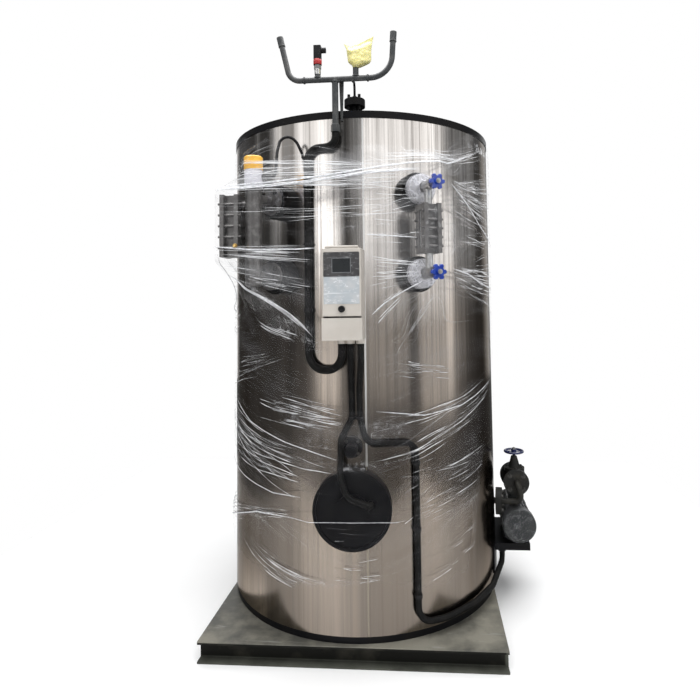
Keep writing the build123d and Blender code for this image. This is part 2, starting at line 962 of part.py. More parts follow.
# Water column on the left nozzles: flanges, arms and the upright chamber
column_foot_z = level_low_z - column_foot
column_head_z = column_high_z + column_overlap
column_centre = Vector(*drum_point(-level_angle, column_distance, 0))
with BuildPart() as water_column:
    for height in (column_high_z, level_low_z):
        with BuildSketch(radial_plane(-level_angle, level_flange_face, height)):
            Circle(level_flange_radius)
        extrude(amount=level_flange_thickness)
        with BuildSketch(radial_plane(-level_angle, level_flange_face, height)):
            Circle(column_arm_radius)
        extrude(amount=column_distance - level_flange_face)
    with BuildSketch(Plane.XY.offset(column_foot_z)):
        with Locations((column_centre.X, column_centre.Y)):
            Circle(column_radius)
    extrude(amount=column_head_z - column_foot_z)
    chamfer(water_column.edges().group_by(Axis.Z)[0], length=column_foot_chamfer)
    with BuildSketch(Plane.XY.offset(column_foot_z - column_drain_length)):
        with Locations((column_centre.X, column_centre.Y)):
            Circle(column_drain_radius)
    extrude(amount=column_drain_length + column_foot_chamfer)
save(water_column, "water_column")

# Level probe on top of the column: head and screwed cap
with BuildPart() as probe_head:
    with BuildSketch(Plane.XY.offset(column_head_z)):
        with Locations((column_centre.X, column_centre.Y)):
            Circle(probe_head_radius)
    extrude(amount=probe_head_length)
save(probe_head, "probe_head")

probe_cap_low = column_head_z + probe_head_length
with BuildPart() as probe_cap:
    with BuildSketch(Plane.XY.offset(probe_cap_low)):
        with Locations((column_centre.X, column_centre.Y)):
            Circle(probe_cap_radius)
    extrude(amount=probe_cap_length)
    chamfer(probe_cap.edges().group_by(Axis.Z)[-1], length=probe_cap_chamfer)
save(probe_cap, "probe_cap")

# Gauge on the outer side of the column, with two short links
column_gauge_mid = column_gauge_low + column_gauge_length / 2
column_gauge_x = column_centre.X - column_gauge_offset
plate_side = column_gauge_x + gauge_core_width / 2 + gauge_plate_thickness
column_gauge = gauge_body(
    Plane(
        origin=(column_gauge_x, column_centre.Y, column_gauge_mid),
        x_dir=(1, 0, 0),
        z_dir=(0, -1, 0),
    ),
    column_gauge_length,
    column_stud_pitch,
    column_stud_count,
)
with BuildPart() as column_level_gauge:
    add(column_gauge.part)
    for side in (-1, 1):
        link_z = column_gauge_mid + side * (column_gauge_length / 2 - column_link_inset)
        with BuildSketch(Plane(origin=(plate_side, column_centre.Y, link_z), z_dir=(1, 0, 0))):
            Circle(column_link_radius)
        extrude(amount=column_centre.X - plate_side)
    with BuildSketch(Plane.XY.offset(column_foot_z)):
        with Locations((column_centre.X, column_centre.Y)):
            Circle(column_radius)
    extrude(amount=column_head_z - column_foot_z, mode=Mode.SUBTRACT)
save(column_level_gauge, "column_level_gauge")

# Control box: open case, lower cover, saddles to the drum, glands and hinge barrels
hinge_y = -(box_front + hinge_barrel_radius + hinge_clearance)
hinge_z = box_top + hinge_barrel_radius + hinge_clearance


def hinge_plane(x):
    """Upright plane across the hinge line; its x runs to the rear and its y up."""
    return Plane(origin=(x, hinge_y, hinge_z), x_dir=(0, 1, 0), z_dir=(1, 0, 0))


with BuildPart() as control_box:
    with BuildSketch(Plane.XY.offset(box_low_z)):
        with Locations((0, -(box_back + box_front) / 2)):
            Rectangle(box_width, box_front - box_back)
    extrude(amount=box_height)
    with BuildSketch(Plane.XY.offset(box_low_z + box_sheet)):
        with Locations((0, -box_back - box_sheet)):
            Rectangle(
                box_width - 2 * box_sheet,
                box_front - box_back,
                align=(Align.CENTER, Align.MAX),
            )
    extrude(amount=box_height - 2 * box_sheet, mode=Mode.SUBTRACT)
    with BuildSketch(Plane.XY.offset(box_low_z)):
        with Locations((0, -box_front)):
            Rectangle(box_cover_width, box_cover_depth, align=(Align.CENTER, Align.MAX))
    extrude(amount=box_cover_height)
    for height in (box_low_z + saddle_inset, box_top - saddle_inset - saddle_height):
        with BuildSketch(Plane.XY.offset(height)):
            with Locations((0, -box_back)):
                Rectangle(saddle_width, box_back / 2, align=(Align.CENTER, Align.MIN))
        extrude(amount=saddle_height)
    with BuildSketch(Plane.XY):
        Circle(cladding_radius)
    extrude(amount=drum_top, mode=Mode.SUBTRACT)
    with BuildSketch(Plane.XY.offset(box_low_z - gland_length)):
        for x in box_gland_x:
            with Locations((x, gland_y)):
                RegularPolygon(radius=gland_radius, side_count=6)
    extrude(amount=gland_length)
    for x in (-hinge_offset - hinge_barrel_length, hinge_offset):
        with BuildSketch(hinge_plane(x)):
            Circle(hinge_barrel_radius)
            Rectangle(-hinge_y - box_front + hinge_leaf, hinge_web, align=Align.MIN)
            with Locations((-hinge_y - box_front, -hinge_barrel_radius - hinge_clearance)):
                Rectangle(hinge_leaf, hinge_barrel_radius + hinge_clearance, align=Align.MIN)
        extrude(amount=hinge_barrel_length)
    with BuildSketch(hinge_plane(-hinge_offset - hinge_barrel_length)):
        Circle(hinge_pin_radius)
    extrude(amount=2 * (hinge_offset + hinge_barrel_length))
save(control_box, "control_box")

# Top-hinged door of the control box, with its lock
door_width = box_width - 2 * door_side_gap
with BuildPart() as control_box_door:
    with BuildSketch(Plane.XY.offset(door_low_z)):
        with Locations((0, -door_back)):
            Rectangle(door_width, door_depth, align=(Align.CENTER, Align.MAX))
    extrude(amount=box_top - door_low_z)
    fillet(
        control_box_door.faces().sort_by(Axis.Y)[0].edges(),
        radius=door_edge,
    )
    lock_z = door_low_z + lock_rise
    with BuildSketch(Plane(origin=(0, -door_front, lock_z), z_dir=(0, -1, 0))):
        Circle(lock_radius)
    extrude(amount=lock_length)
    barrel_length = 2 * (hinge_offset - hinge_side_gap)
    with BuildSketch(hinge_plane(-barrel_length / 2)):
        Circle(hinge_barrel_radius)
        with Locations((0, -hinge_barrel_radius - hinge_clearance)):
            Rectangle(
                hinge_web,
                hinge_barrel_radius + hinge_clearance,
                align=(Align.CENTER, Align.MIN),
            )
    extrude(amount=barrel_length)
    with BuildSketch(hinge_plane(-barrel_length / 2)):
        Circle(hinge_pin_radius + hinge_pin_gap)
    extrude(amount=barrel_length, mode=Mode.SUBTRACT)
save(control_box_door, "control_box_door")

# Dark display panel on the upper half of the door
with BuildPart() as display_panel:
    with BuildSketch(
        Plane(
            origin=(0, -door_front, box_top - panel_top_gap - panel_height / 2),
            x_dir=(1, 0, 0),
            z_dir=(0, -1, 0),
        )
    ):
        RectangleRounded(panel_width, panel_height, panel_corner)
    extrude(amount=panel_thickness)
save(display_panel, "display_panel")


def conduit(points, radii, radius):
    """Flexible conduit: a tube of straight runs joined by tangent arcs."""
    start = Vector(*points[0])
    with BuildPart() as tube:
        with BuildLine() as route:
            FilletPolyline(*points, radius=radii)
        with BuildSketch(Plane(origin=start, z_dir=Vector(*points[1]) - start)):
            Circle(radius)
        sweep(path=route.wires()[0])
    return tube


# Conduits from the glands of the box: to the header, to the front cover and to the pump
box_gland_low = box_low_z - gland_length
big_wall = cladding_radius + big_conduit_radius + conduit_gap
wall = cladding_radius + conduit_radius + conduit_gap
conduit_turn_z = box_low_z - conduit_turn_drop
conduit_wall_z = box_low_z - conduit_wall_drop
conduit_tie_z = box_low_z - conduit_tie_drop
pump_conduit_turn_z = box_low_z - pump_turn_drop
header_conduit_z = union_low - header_conduit_drop
header_conduit_low = box_low_z - header_loop_drop
header_conduit_angle = degrees(asin(header_conduit_x / big_wall))
wall_y = -sqrt(big_wall**2 - header_conduit_x**2)
header_conduit = conduit(
    [
        (standpipe_x, header_y, union_low),
        (standpipe_x, header_y, header_conduit_z),
        (header_conduit_x, wall_y, header_conduit_z),
        (header_conduit_x, wall_y, header_conduit_low),
        (box_gland_x[0], gland_y, header_conduit_low),
        (box_gland_x[0], gland_y, box_gland_low),
    ],
    [40, 48, 66, 66],
    big_conduit_radius,
)
save(header_conduit, "header_conduit")

cover_plane = radial_plane(cover_angle, cover_front - cover_recess, cover_z)
gland_face = cover_plane.from_local_coords(
    (cover_gland_x, cover_gland_z, cover_gland_height + fit_gap)
)
gland_turn = gland_face + cover_plane.z_dir * cover_conduit_gap
cover_conduit_y = gland_turn.Y
cover_conduit = conduit(
    [
        (box_gland_x[1], gland_y, box_gland_low),
        (box_gland_x[1], gland_y, conduit_turn_z),
        (16, -wall, conduit_wall_z),
        (17, -wall, conduit_tie_z),
        (-21, -wall - 26, 836),
        (-24, cover_conduit_y, 700),
        (0, cover_conduit_y, 622),
        gland_turn,
        gland_face,
    ],
    [90, 90, 60, 60, 60, 60, 14],
    conduit_radius,
)
save(cover_conduit, "cover_conduit")

pump_conduit = conduit(
    [
        (box_gland_x[2], gland_y, box_gland_low),
        (box_gland_x[2], gland_y, conduit_turn_z),
        (46, -wall, conduit_wall_z),
        (47, -wall, conduit_tie_z),
        drum_point(6.6, wall, pump_conduit_turn_z),
        drum_point(15, wall + 6, pump_conduit_turn_z + 2),
        drum_point(pump_conduit_angle, wall, pump_conduit_turn_z - 4),
        drum_point(pump_conduit_angle, wall, pump_conduit_low),
        drum_point(36, wall + 8, pump_conduit_low - 3),
        drum_point(50, wall + 8, pump_conduit_low),
        drum_point(64, wall + 8, pump_conduit_low + 4),
        (shelf_gland_x, shelf_gland_y, shelf_gland_low - shelf_gland_drop),
        (shelf_gland_x, shelf_gland_y, shelf_gland_low),
    ],
    [90, 90, 90, 50, 100, 44, 60, 200, 200, 70, 26],
    conduit_radius,
)
save(pump_conduit, "pump_conduit")

# Cable of the level probe: out of its head, up over the film's edge and into the header conduit
probe_gland_z = column_head_z + probe_gland_rise
probe_gland_end = column_centre.X + probe_head_radius + probe_gland_length
probe_entry = Vector(header_conduit_x, wall_y, header_conduit_z - probe_entry_drop)
probe_entry_axis = Vector(-sin(radians(probe_entry_lean)), 0, cos(radians(probe_entry_lean)))
probe_entry_face = probe_entry + probe_entry_axis * (big_conduit_radius + probe_gland_length)
probe_run = conduit(
    [
        (probe_gland_end, column_centre.Y, probe_gland_z),
        (probe_cable_route[0][0] + 5, column_centre.Y, probe_gland_z),
        *probe_cable_route,
        probe_entry_face,
    ],
    probe_cable_bends,
    probe_cable_radius,
)
with BuildPart() as probe_cable:
    add(probe_run.part)
    with BuildSketch(
        Plane(origin=(column_centre.X, column_centre.Y, probe_gland_z), z_dir=(1, 0, 0))
    ):
        RegularPolygon(radius=probe_gland_radius, side_count=6)
    extrude(amount=probe_head_radius + probe_gland_length)
    with BuildSketch(Plane(origin=probe_entry, z_dir=probe_entry_axis)):
        Circle(probe_gland_radius)
    extrude(amount=big_conduit_radius + probe_gland_length)
    with BuildSketch(Plane.XY.offset(column_head_z)):
        with Locations((column_centre.X, column_centre.Y)):
            Circle(probe_head_radius + fit_gap)
    extrude(amount=probe_head_length, mode=Mode.SUBTRACT)
    with BuildSketch(Plane.XY.offset(probe_entry.Z - 2 * probe_entry_drop)):
        with Locations((header_conduit_x, wall_y)):
            Circle(big_conduit_radius + fit_gap)
    extrude(amount=4 * probe_entry_drop, mode=Mode.SUBTRACT)
save(probe_cable, "probe_cable")


# Clips that hold the conduits to the cladding
with BuildPart() as conduit_clips:
    upright_clips = [
        (pump_conduit_angle, wall, height, conduit_radius) for height in pump_clip_heights
    ]
    for height in header_clip_heights:
        upright_clips.append((header_conduit_angle, big_wall, height, big_conduit_radius))
    for angle, distance, height, radius in upright_clips:
        around = Plane(
            origin=drum_point(angle, distance, height),
            x_dir=radial_plane(angle, distance, height).x_dir,
            z_dir=(0, 0, 1),
        )
        foot = distance - cladding_radius + clip_foot_sink
        with BuildSketch(around):
            Circle(radius + fit_gap + clip_wall)
            Rectangle(clip_foot_width, foot, align=(Align.CENTER, Align.MIN))
            Circle(radius + fit_gap, mode=Mode.SUBTRACT)
        extrude(amount=clip_width)
    with BuildSketch(Plane.XY):
        Circle(cladding_radius)
    extrude(amount=drum_top, mode=Mode.SUBTRACT)
save(conduit_clips, "conduit_clips")

# Round insulated cover low on the front, with a raised rim and boss
with BuildPart() as front_cover:
    with BuildSketch(radial_plane(cover_angle, cladding_radius / 2, cover_z)):
        Circle(cover_radius)
    extrude(amount=cover_front - cladding_radius / 2)
    with BuildSketch(radial_plane(cover_angle, cover_front - cover_recess, cover_z)):
        Circle(cover_radius - cover_rim_width)
    extrude(amount=cover_recess, mode=Mode.SUBTRACT)
    with BuildSketch(radial_plane(cover_angle, cover_front - cover_recess, cover_z)):
        Circle(cover_boss_radius)
    extrude(amount=cover_boss_height)
    with BuildSketch(Plane.XY):
        Circle(cladding_radius)
    extrude(amount=drum_top, mode=Mode.SUBTRACT)
    with BuildSketch(cover_plane):
        with Locations((cover_gland_x, cover_gland_z)):
            Circle(gland_radius)
    extrude(amount=cover_gland_height)
save(front_cover, "front_cover")

# Sight port between the box and the cover
with BuildPart() as sight_port:
    with BuildSketch(radial_plane(sight_angle, cladding_radius / 2, sight_z)):
        Circle(sight_pipe_radius)
    extrude(amount=sight_flange_start - cladding_radius / 2)
    with BuildSketch(Plane.XY):
        Circle(vessel_radius)
    extrude(amount=drum_top, mode=Mode.SUBTRACT)
    with BuildSketch(radial_plane(sight_angle, sight_flange_start, sight_z)):
        Circle(sight_flange_radius)
    extrude(amount=sight_flange_thickness)
    with BuildSketch(radial_plane(sight_angle, sight_flange_start, sight_z)):
        Circle(sight_cap_radius)
    extrude(amount=sight_flange_thickness + sight_cap_length)
    fillet(sight_port.edges().filter_by(GeomType.CIRCLE).sort_by(Axis.Y)[0], radius=sight_cap_edge)
    lug_plane = radial_plane(sight_angle, sight_flange_start, sight_z)
    with BuildSketch(lug_plane):
        with Locations((-sight_flange_radius, -sight_lug_drop)):
            Circle(sight_lug_radius)
    extrude(amount=sight_lug_length)
save(sight_port, "sight_port")

# Feed nozzle: pipe through the cladding and its flange
with BuildPart() as feed_nozzle:
    with BuildSketch(radial_plane(feed_angle, cladding_radius / 2, feed_z)):
        Circle(feed_pipe_radius)
    extrude(amount=feed_flange_start - cladding_radius / 2)
    with BuildSketch(Plane.XY):
        Circle(vessel_radius)
    extrude(amount=drum_top, mode=Mode.SUBTRACT)
    with BuildSketch(radial_plane(feed_angle, feed_flange_start, feed_z)):
        Circle(feed_flange_radius)
    extrude(amount=feed_flange_thickness)
save(feed_nozzle, "feed_nozzle")

# Bent pipe from the feed valve down to the nozzle
valve_face = valve_y - valve_half_length
turn_point = drum_point(feed_angle, feed_face + feed_turn_reach, feed_z)
feed_pipe_start = (pump_x, valve_face, valve_z)
with BuildPart() as feed_pipe:
    with BuildSketch(radial_plane(feed_angle, feed_face, feed_z)):
        Circle(feed_flange_radius)
    extrude(amount=feed_flange_thickness)
    with BuildLine() as feed_route:
        FilletPolyline(
            feed_pipe_start,
            (pump_x, turn_point[1], valve_z),
            turn_point,
            drum_point(feed_angle, feed_face, feed_z),
            radius=[feed_upper_bend, feed_lower_bend],
        )
    with BuildSketch(Plane(origin=feed_pipe_start, z_dir=(0, -1, 0))):
        Circle(feed_pipe_radius)
    sweep(path=feed_route.wires()[0])
save(feed_pipe, "feed_pipe")

# Globe valve: flanged body along Y, bonnet, neck and stem
valve_throat_z = valve_z + sqrt(valve_ball_radius**2 - valve_throat_radius**2)
valve_foot_z = valve_z - sqrt(valve_ball_radius**2 - valve_foot_radius**2)
cap_low = valve_z + valve_cap_rise
cap_top = cap_low + valve_cap_thickness
neck_top = valve_z + valve_neck_rise
wheel_low = valve_z + wheel_rise - wheel_hub_length / 2
stem_top = wheel_low + wheel_bore_depth - fit_gap
with BuildPart() as feed_valve:
    with BuildSketch(Plane(origin=(pump_x, valve_face, valve_z), z_dir=(0, 1, 0))):
        Circle(feed_pipe_radius + valve_pipe_wall)
    extrude(amount=2 * valve_half_length)
    for y in (valve_face, valve_y + valve_half_length - valve_flange_thickness):
        with BuildSketch(Plane(origin=(pump_x, y, valve_z), z_dir=(0, 1, 0))):
            Circle(valve_flange_radius)
        extrude(amount=valve_flange_thickness)
    with BuildSketch(Plane(origin=(pump_x, valve_y, 0), x_dir=(1, 0, 0), z_dir=(0, -1, 0))):
        with BuildLine():
            ThreePointArc(
                (valve_foot_radius, valve_foot_z),
                (valve_ball_radius, valve_z),
                (valve_throat_radius, valve_throat_z),
            )
            Polyline(
                (valve_throat_radius, valve_throat_z),
                (valve_throat_radius, cap_low),
                (valve_cap_radius, cap_low),
                (valve_cap_radius, cap_top),
                (valve_neck_radius + valve_neck_flare, cap_top),
                (valve_neck_radius, neck_top),
                (feed_stem_radius, neck_top),
                (feed_stem_radius, stem_top),
                (0, stem_top),
                (0, valve_foot_z),
                (valve_foot_radius, valve_foot_z),
            )
        make_face()
    revolve(axis=Axis((pump_x, valve_y, 0), (0, 0, 1)))
save(feed_valve, "feed_valve")

# Handwheel of the feed valve: rim, spokes and hub
wheel_mid = wheel_low + wheel_hub_length / 2
with BuildPart() as feed_valve_handwheel:
    with Locations((pump_x, valve_y, wheel_mid)):
        Torus(wheel_radius - wheel_rim_radius, wheel_rim_radius)
    with BuildSketch(Plane.XY.offset(wheel_mid - wheel_spoke_width / 4)):
        with Locations((pump_x, valve_y)):
            with PolarLocations(0, wheel_spokes):
                Rectangle(
                    wheel_radius - wheel_rim_radius,
                    wheel_spoke_width,
                    align=(Align.MIN, Align.CENTER),
                )
    extrude(amount=wheel_spoke_width / 2)
    with BuildSketch(Plane.XY.offset(wheel_low)):
        with Locations((pump_x, valve_y)):
            Circle(wheel_hub_radius)
    extrude(amount=wheel_hub_length)
    with BuildSketch(Plane.XY.offset(wheel_low)):
        with Locations((pump_x, valve_y)):
            Circle(feed_stem_radius + fit_gap)
    extrude(amount=wheel_bore_depth, mode=Mode.SUBTRACT)
save(feed_valve_handwheel, "feed_valve_handwheel")

# Pump: casing behind the motor, suction flange at its rear and riser to the valve
valve_back = valve_y + valve_half_length
riser_start = (pump_x, pump_riser_y, motor_z)
with BuildPart() as feed_pump:
    with BuildSketch(Plane(origin=(pump_x, motor_back, motor_z), z_dir=(0, 1, 0))):
        Circle(pump_radius)
    extrude(amount=pump_back - motor_back)
    fillet(feed_pump.edges().group_by(Axis.Y)[-1], radius=pump_edge)
    with BuildLine() as riser_route:
        FilletPolyline(
            riser_start,
            (pump_x, pump_riser_y, valve_z),
            (pump_x, valve_back, valve_z),
            radius=pump_riser_bend,
        )
    with BuildSketch(Plane(origin=riser_start, z_dir=(0, 0, 1))):
        Circle(feed_pipe_radius)
    sweep(path=riser_route.wires()[0])
    with BuildSketch(Plane(origin=(pump_x, valve_back, valve_z), z_dir=(0, 1, 0))):
        Circle(valve_flange_radius)
    extrude(amount=valve_flange_thickness)
    with BuildSketch(Plane(origin=(pump_x, pump_back, motor_z), z_dir=(0, 1, 0))):
        Circle(pump_suction_radius)
    extrude(amount=pump_suction_length)
    suction_face = pump_back + pump_suction_length
    with BuildSketch(Plane(origin=(pump_x, suction_face, motor_z), z_dir=(0, -1, 0))):
        Circle(pump_suction_flange_radius)
    extrude(amount=valve_flange_thickness)
    with BuildSketch(Plane(origin=(pump_x, suction_face, motor_z), z_dir=(0, -1, 0))):
        Circle(pump_suction_bore)
    extrude(amount=pump_suction_length, mode=Mode.SUBTRACT)
    with BuildSketch(Plane.XY.offset(shelf_top)):
        with Locations((pump_x, (motor_back + pump_back) / 2)):
            Rectangle(pump_foot_width, pump_foot_length)
    extrude(amount=pump_foot_height)
save(feed_pump, "feed_pump")

# Motor: finned frame, fan cowl, feet and terminal box
with BuildPart() as pump_motor:
    with BuildSketch(Plane(origin=(pump_x, motor_front, motor_z), z_dir=(0, 1, 0))):
        Circle(motor_frame_radius - motor_fin_height)
        with PolarLocations(0, motor_fin_count):
            Rectangle(motor_frame_radius, motor_fin_width, align=(Align.MIN, Align.CENTER))
    extrude(amount=motor_back - motor_front)
    with BuildSketch(Plane(origin=(pump_x, motor_front, motor_z), z_dir=(0, 1, 0))):
        Circle(motor_cowl_radius)
    extrude(amount=motor_cowl_length)
    fillet(pump_motor.edges().group_by(Axis.Y)[0], radius=motor_edge)
    foot_middle = (motor_front + motor_cowl_length + motor_back) / 2
    with BuildSketch(Plane.XY.offset(shelf_top)):
        with Locations((pump_x, foot_middle)):
            Rectangle(motor_foot_width, motor_foot_length)
    extrude(amount=motor_foot_thickness)
    with BuildSketch(Plane.XY.offset(shelf_top)):
        with Locations((pump_x, foot_middle)):
            Rectangle(motor_saddle_width, motor_foot_length)
    extrude(amount=motor_saddle_height)
    with BuildSketch(Plane.XY.offset(motor_z)):
        with Locations((pump_x, foot_middle + terminal_box_shift)):
            Rectangle(terminal_box_width, terminal_box_width)
    extrude(amount=motor_frame_radius + terminal_box_rise)
save(pump_motor, "pump_motor")

# Shelf that carries the pump and motor, with a curved pad against the cladding
pad_low = shelf_top - shelf_pad_height
with BuildPart() as pump_shelf:
    with BuildSketch(Plane.XY.offset(shelf_top - shelf_skirt)):
        with Locations((cladding_radius / 2, shelf_front)):
            Rectangle(
                shelf_reach - cladding_radius / 2,
                shelf_back - shelf_front,
                align=(Align.MIN, Align.MIN),
            )
    extrude(amount=shelf_skirt)
    with BuildSketch(Plane.XY.offset(shelf_top - shelf_skirt)):
        with Locations((cladding_radius / 2, shelf_front + shelf_thickness)):
            Rectangle(
                shelf_reach - cladding_radius / 2 - shelf_thickness,
                shelf_back - shelf_front - 2 * shelf_thickness,
                align=(Align.MIN, Align.MIN),
            )
    extrude(amount=shelf_skirt - shelf_thickness, mode=Mode.SUBTRACT)
    with BuildSketch(section_plane(90 - shelf_pad_angle / 2)):
        with Locations((cladding_radius, pad_low)):
            Rectangle(shelf_pad_thickness, shelf_pad_height, align=(Align.MIN, Align.MIN))
    revolve(axis=Axis.Z, revolution_arc=shelf_pad_angle)
    with BuildSketch(Plane.XY.offset(shelf_top - shelf_skirt - gland_length)):
        with Locations((shelf_gland_x, shelf_gland_y)):
            RegularPolygon(radius=gland_radius, side_count=6)
    extrude(amount=gland_length + shelf_skirt - shelf_thickness)
    with BuildSketch(Plane.XY):
        Circle(cladding_radius)
    extrude(amount=drum_top, mode=Mode.SUBTRACT)
save(pump_shelf, "pump_shelf")

# Blow-down nozzle low at the rear
with BuildPart() as blowdown_nozzle:
    with BuildSketch(radial_plane(blowdown_angle, cladding_radius / 2, blowdown_z)):
        Circle(blowdown_pipe_radius)
    extrude(amount=blowdown_end - cladding_radius / 2)
    with BuildSketch(Plane.XY):
        Circle(vessel_radius)
    extrude(amount=drum_top, mode=Mode.SUBTRACT)
    flange_start = blowdown_end - blowdown_flange_thickness
    with BuildSketch(radial_plane(blowdown_angle, flange_start, blowdown_z)):
        Circle(blowdown_flange_radius)
    extrude(amount=blowdown_flange_thickness)
    with BuildSketch(radial_plane(blowdown_angle, vessel_radius, blowdown_z)):
        Circle(blowdown_bore_radius)
    extrude(amount=blowdown_end - vessel_radius, mode=Mode.SUBTRACT)
save(blowdown_nozzle, "blowdown_nozzle")

# Stretch film where it stands off the drum: from the left gauge across to the right one, torn
# open round the control box and pierced by the stems of the gauge valves
film_inside = cladding_radius + fit_gap
film_gauge_side = gauge_core_width / 2 + gauge_plate_thickness + stud_overhang + film_gap
film_gauge_depth = gauge_plate_depth / 2 + film_gap
film_corners = (
    Vector(column_gauge_x - film_gauge_side, column_centre.Y + film_gauge_depth),
    Vector(column_gauge_x - film_gauge_side, column_centre.Y - film_gauge_depth),
    Vector(*drum_point(level_angle - film_corner_angle, cladding_radius + film_reach, 0)),
    Vector(*drum_point(level_angle + film_corner_angle, cladding_radius + film_reach, 0)),
)
film_full_z = level_low_z - film_full_drop
film_cap_z = probe_cap_low + probe_cap_length + film_cap_gap
film_levels = (
    (level_low_z - film_low_drop, film_low_share),
    (film_full_z, 1),
    (film_cap_z, 1),
    (film_cap_z + film_edge_rise, film_high_share),
)


def film_section(height, share, inset):
    """Plan of the tight film, from the left lap round the corners to the right lap.

    The share says how far the corners stand off the drum, from 0 to 1, and the inset is
    taken off all round.
    """
    radius = film_inside + film_thickness - inset
    corners = []
    for corner in film_corners:
        reach = radius + (corner.length + film_thickness - inset - radius) * share
        corners.append(corner.normalized() * reach)
    leaves = []
    for corner, side in ((corners[0], -1), (corners[-1], 1)):
        direction = degrees(atan2(corner.Y, corner.X))
        leaves.append(direction + side * degrees(acos(radius / corner.length)))
    left_end = film_left_end - 90
    right_end = film_right_end - 90
    with BuildSketch(Plane.XY.offset(height)) as section:
        with BuildLine():
            left = CenterArc((0, 0), radius, left_end, leaves[0] - left_end)
            right = CenterArc((0, 0), radius, leaves[1], right_end - leaves[1])
            Polyline(left @ 1, *[(corner.X, corner.Y) for corner in corners], right @ 0)
            Line(right @ 1, left @ 0)
        make_face()
    return section.sketch


with BuildPart() as film_hollow:
    for height, share in film_levels:
        add(film_section(height, share, film_thickness))
    loft(ruled=True)
with BuildPart() as stretch_film:
    for height, share in film_levels:
        add(film_section(height, share, 0))
    loft(ruled=True)
    add(film_hollow.part, mode=Mode.SUBTRACT)
    with BuildSketch(Plane.XY):
        Circle(film_inside)
    extrude(amount=drum_top, mode=Mode.SUBTRACT)
    window_width = box_width + 2 * film_window_side
    with BuildSketch(Plane.XY.offset(box_low_z - film_window_foot)):
        with Locations((0, -cladding_radius)):
            Rectangle(window_width, cladding_radius, align=(Align.CENTER, Align.MAX))
    extrude(amount=film_window_foot + box_height + film_window_head, mode=Mode.SUBTRACT)
    for height in (gauge_high_z, level_low_z):
        with BuildSketch(radial_plane(level_angle, gauge_radius, height)):
            Circle(valve_stem_radius + film_gap)
        extrude(amount=knob_start - gauge_radius, mode=Mode.SUBTRACT)
save(stretch_film, "stretch_film")
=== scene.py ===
"""Dress an upright steam boiler: finishes, hoses, bolts, gauges, control panel, film and studio.

Metres, +Z up, the front of the boiler faces -Y. Angles round the drum are counted from the
front, positive to the right hand of someone who stands before it.
"""

import math
import random

import bmesh
import bpy
from bpy.props import FloatProperty, FloatVectorProperty, IntProperty, PointerProperty
from mathutils import Matrix, Vector, noise


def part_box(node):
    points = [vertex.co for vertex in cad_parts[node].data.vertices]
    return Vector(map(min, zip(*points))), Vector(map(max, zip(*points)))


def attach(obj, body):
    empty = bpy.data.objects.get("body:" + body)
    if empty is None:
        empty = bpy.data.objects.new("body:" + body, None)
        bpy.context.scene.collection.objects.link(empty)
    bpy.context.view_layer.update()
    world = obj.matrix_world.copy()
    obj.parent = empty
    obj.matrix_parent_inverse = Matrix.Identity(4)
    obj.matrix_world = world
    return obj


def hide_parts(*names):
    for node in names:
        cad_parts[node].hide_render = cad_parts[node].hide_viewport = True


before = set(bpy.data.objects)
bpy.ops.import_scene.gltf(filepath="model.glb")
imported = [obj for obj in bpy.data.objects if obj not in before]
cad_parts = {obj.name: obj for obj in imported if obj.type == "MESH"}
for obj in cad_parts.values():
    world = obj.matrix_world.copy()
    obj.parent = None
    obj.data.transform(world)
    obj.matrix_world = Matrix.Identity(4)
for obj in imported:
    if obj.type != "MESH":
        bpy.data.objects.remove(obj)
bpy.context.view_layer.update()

bl_info = {
    "name": "Steam Boiler Dressing",
    "version": (1, 0, 0),
    "blender": (4, 5, 0),
    "location": "View3D > Sidebar > Boiler",
    "description": "Finishes, hoses, bolts, gauges, control panel and stretch film of a steam boiler",
    "category": "Object",
}

# Drum, with the angle and the heights of its level nozzles
DRUM_RADIUS = 0.600
SEAM_ANGLE = 6.5
LEVEL_ANGLE = 25.0
LEVEL_LOW = 1.438
GAUGE_HIGH = 1.758
COLUMN_HIGH = 1.728

# Instrument header: the line of its pipe, and what stands on it
HEADER_Y = -0.6298
HEADER_HEIGHT = 2.188
STANDPIPE_X = -0.031
TRANSMITTER_X = -0.098
SWITCH_X = 0.049

# Feed group
FEED_ANGLE = 80
FEED_VALVE_Y = -0.03024
MOTOR_AXIS_HEIGHT = 0.334

# Camera that took the picture: its frame, its focal length and image centre in pixels, its turn in
# degrees (yaw, pitch and roll) and its place
IMAGE_WIDTH = 700
SENSOR = 36.0
FOCAL_PIXELS = 549.865
CENTRE_ACROSS = 383.836
CENTRE_DOWN = 272.632
CAMERA_TURN = (4.2531, 3.0178, -0.8415)
CAMERA_PLACE = (0.2972, -2.6728, 1.3361)


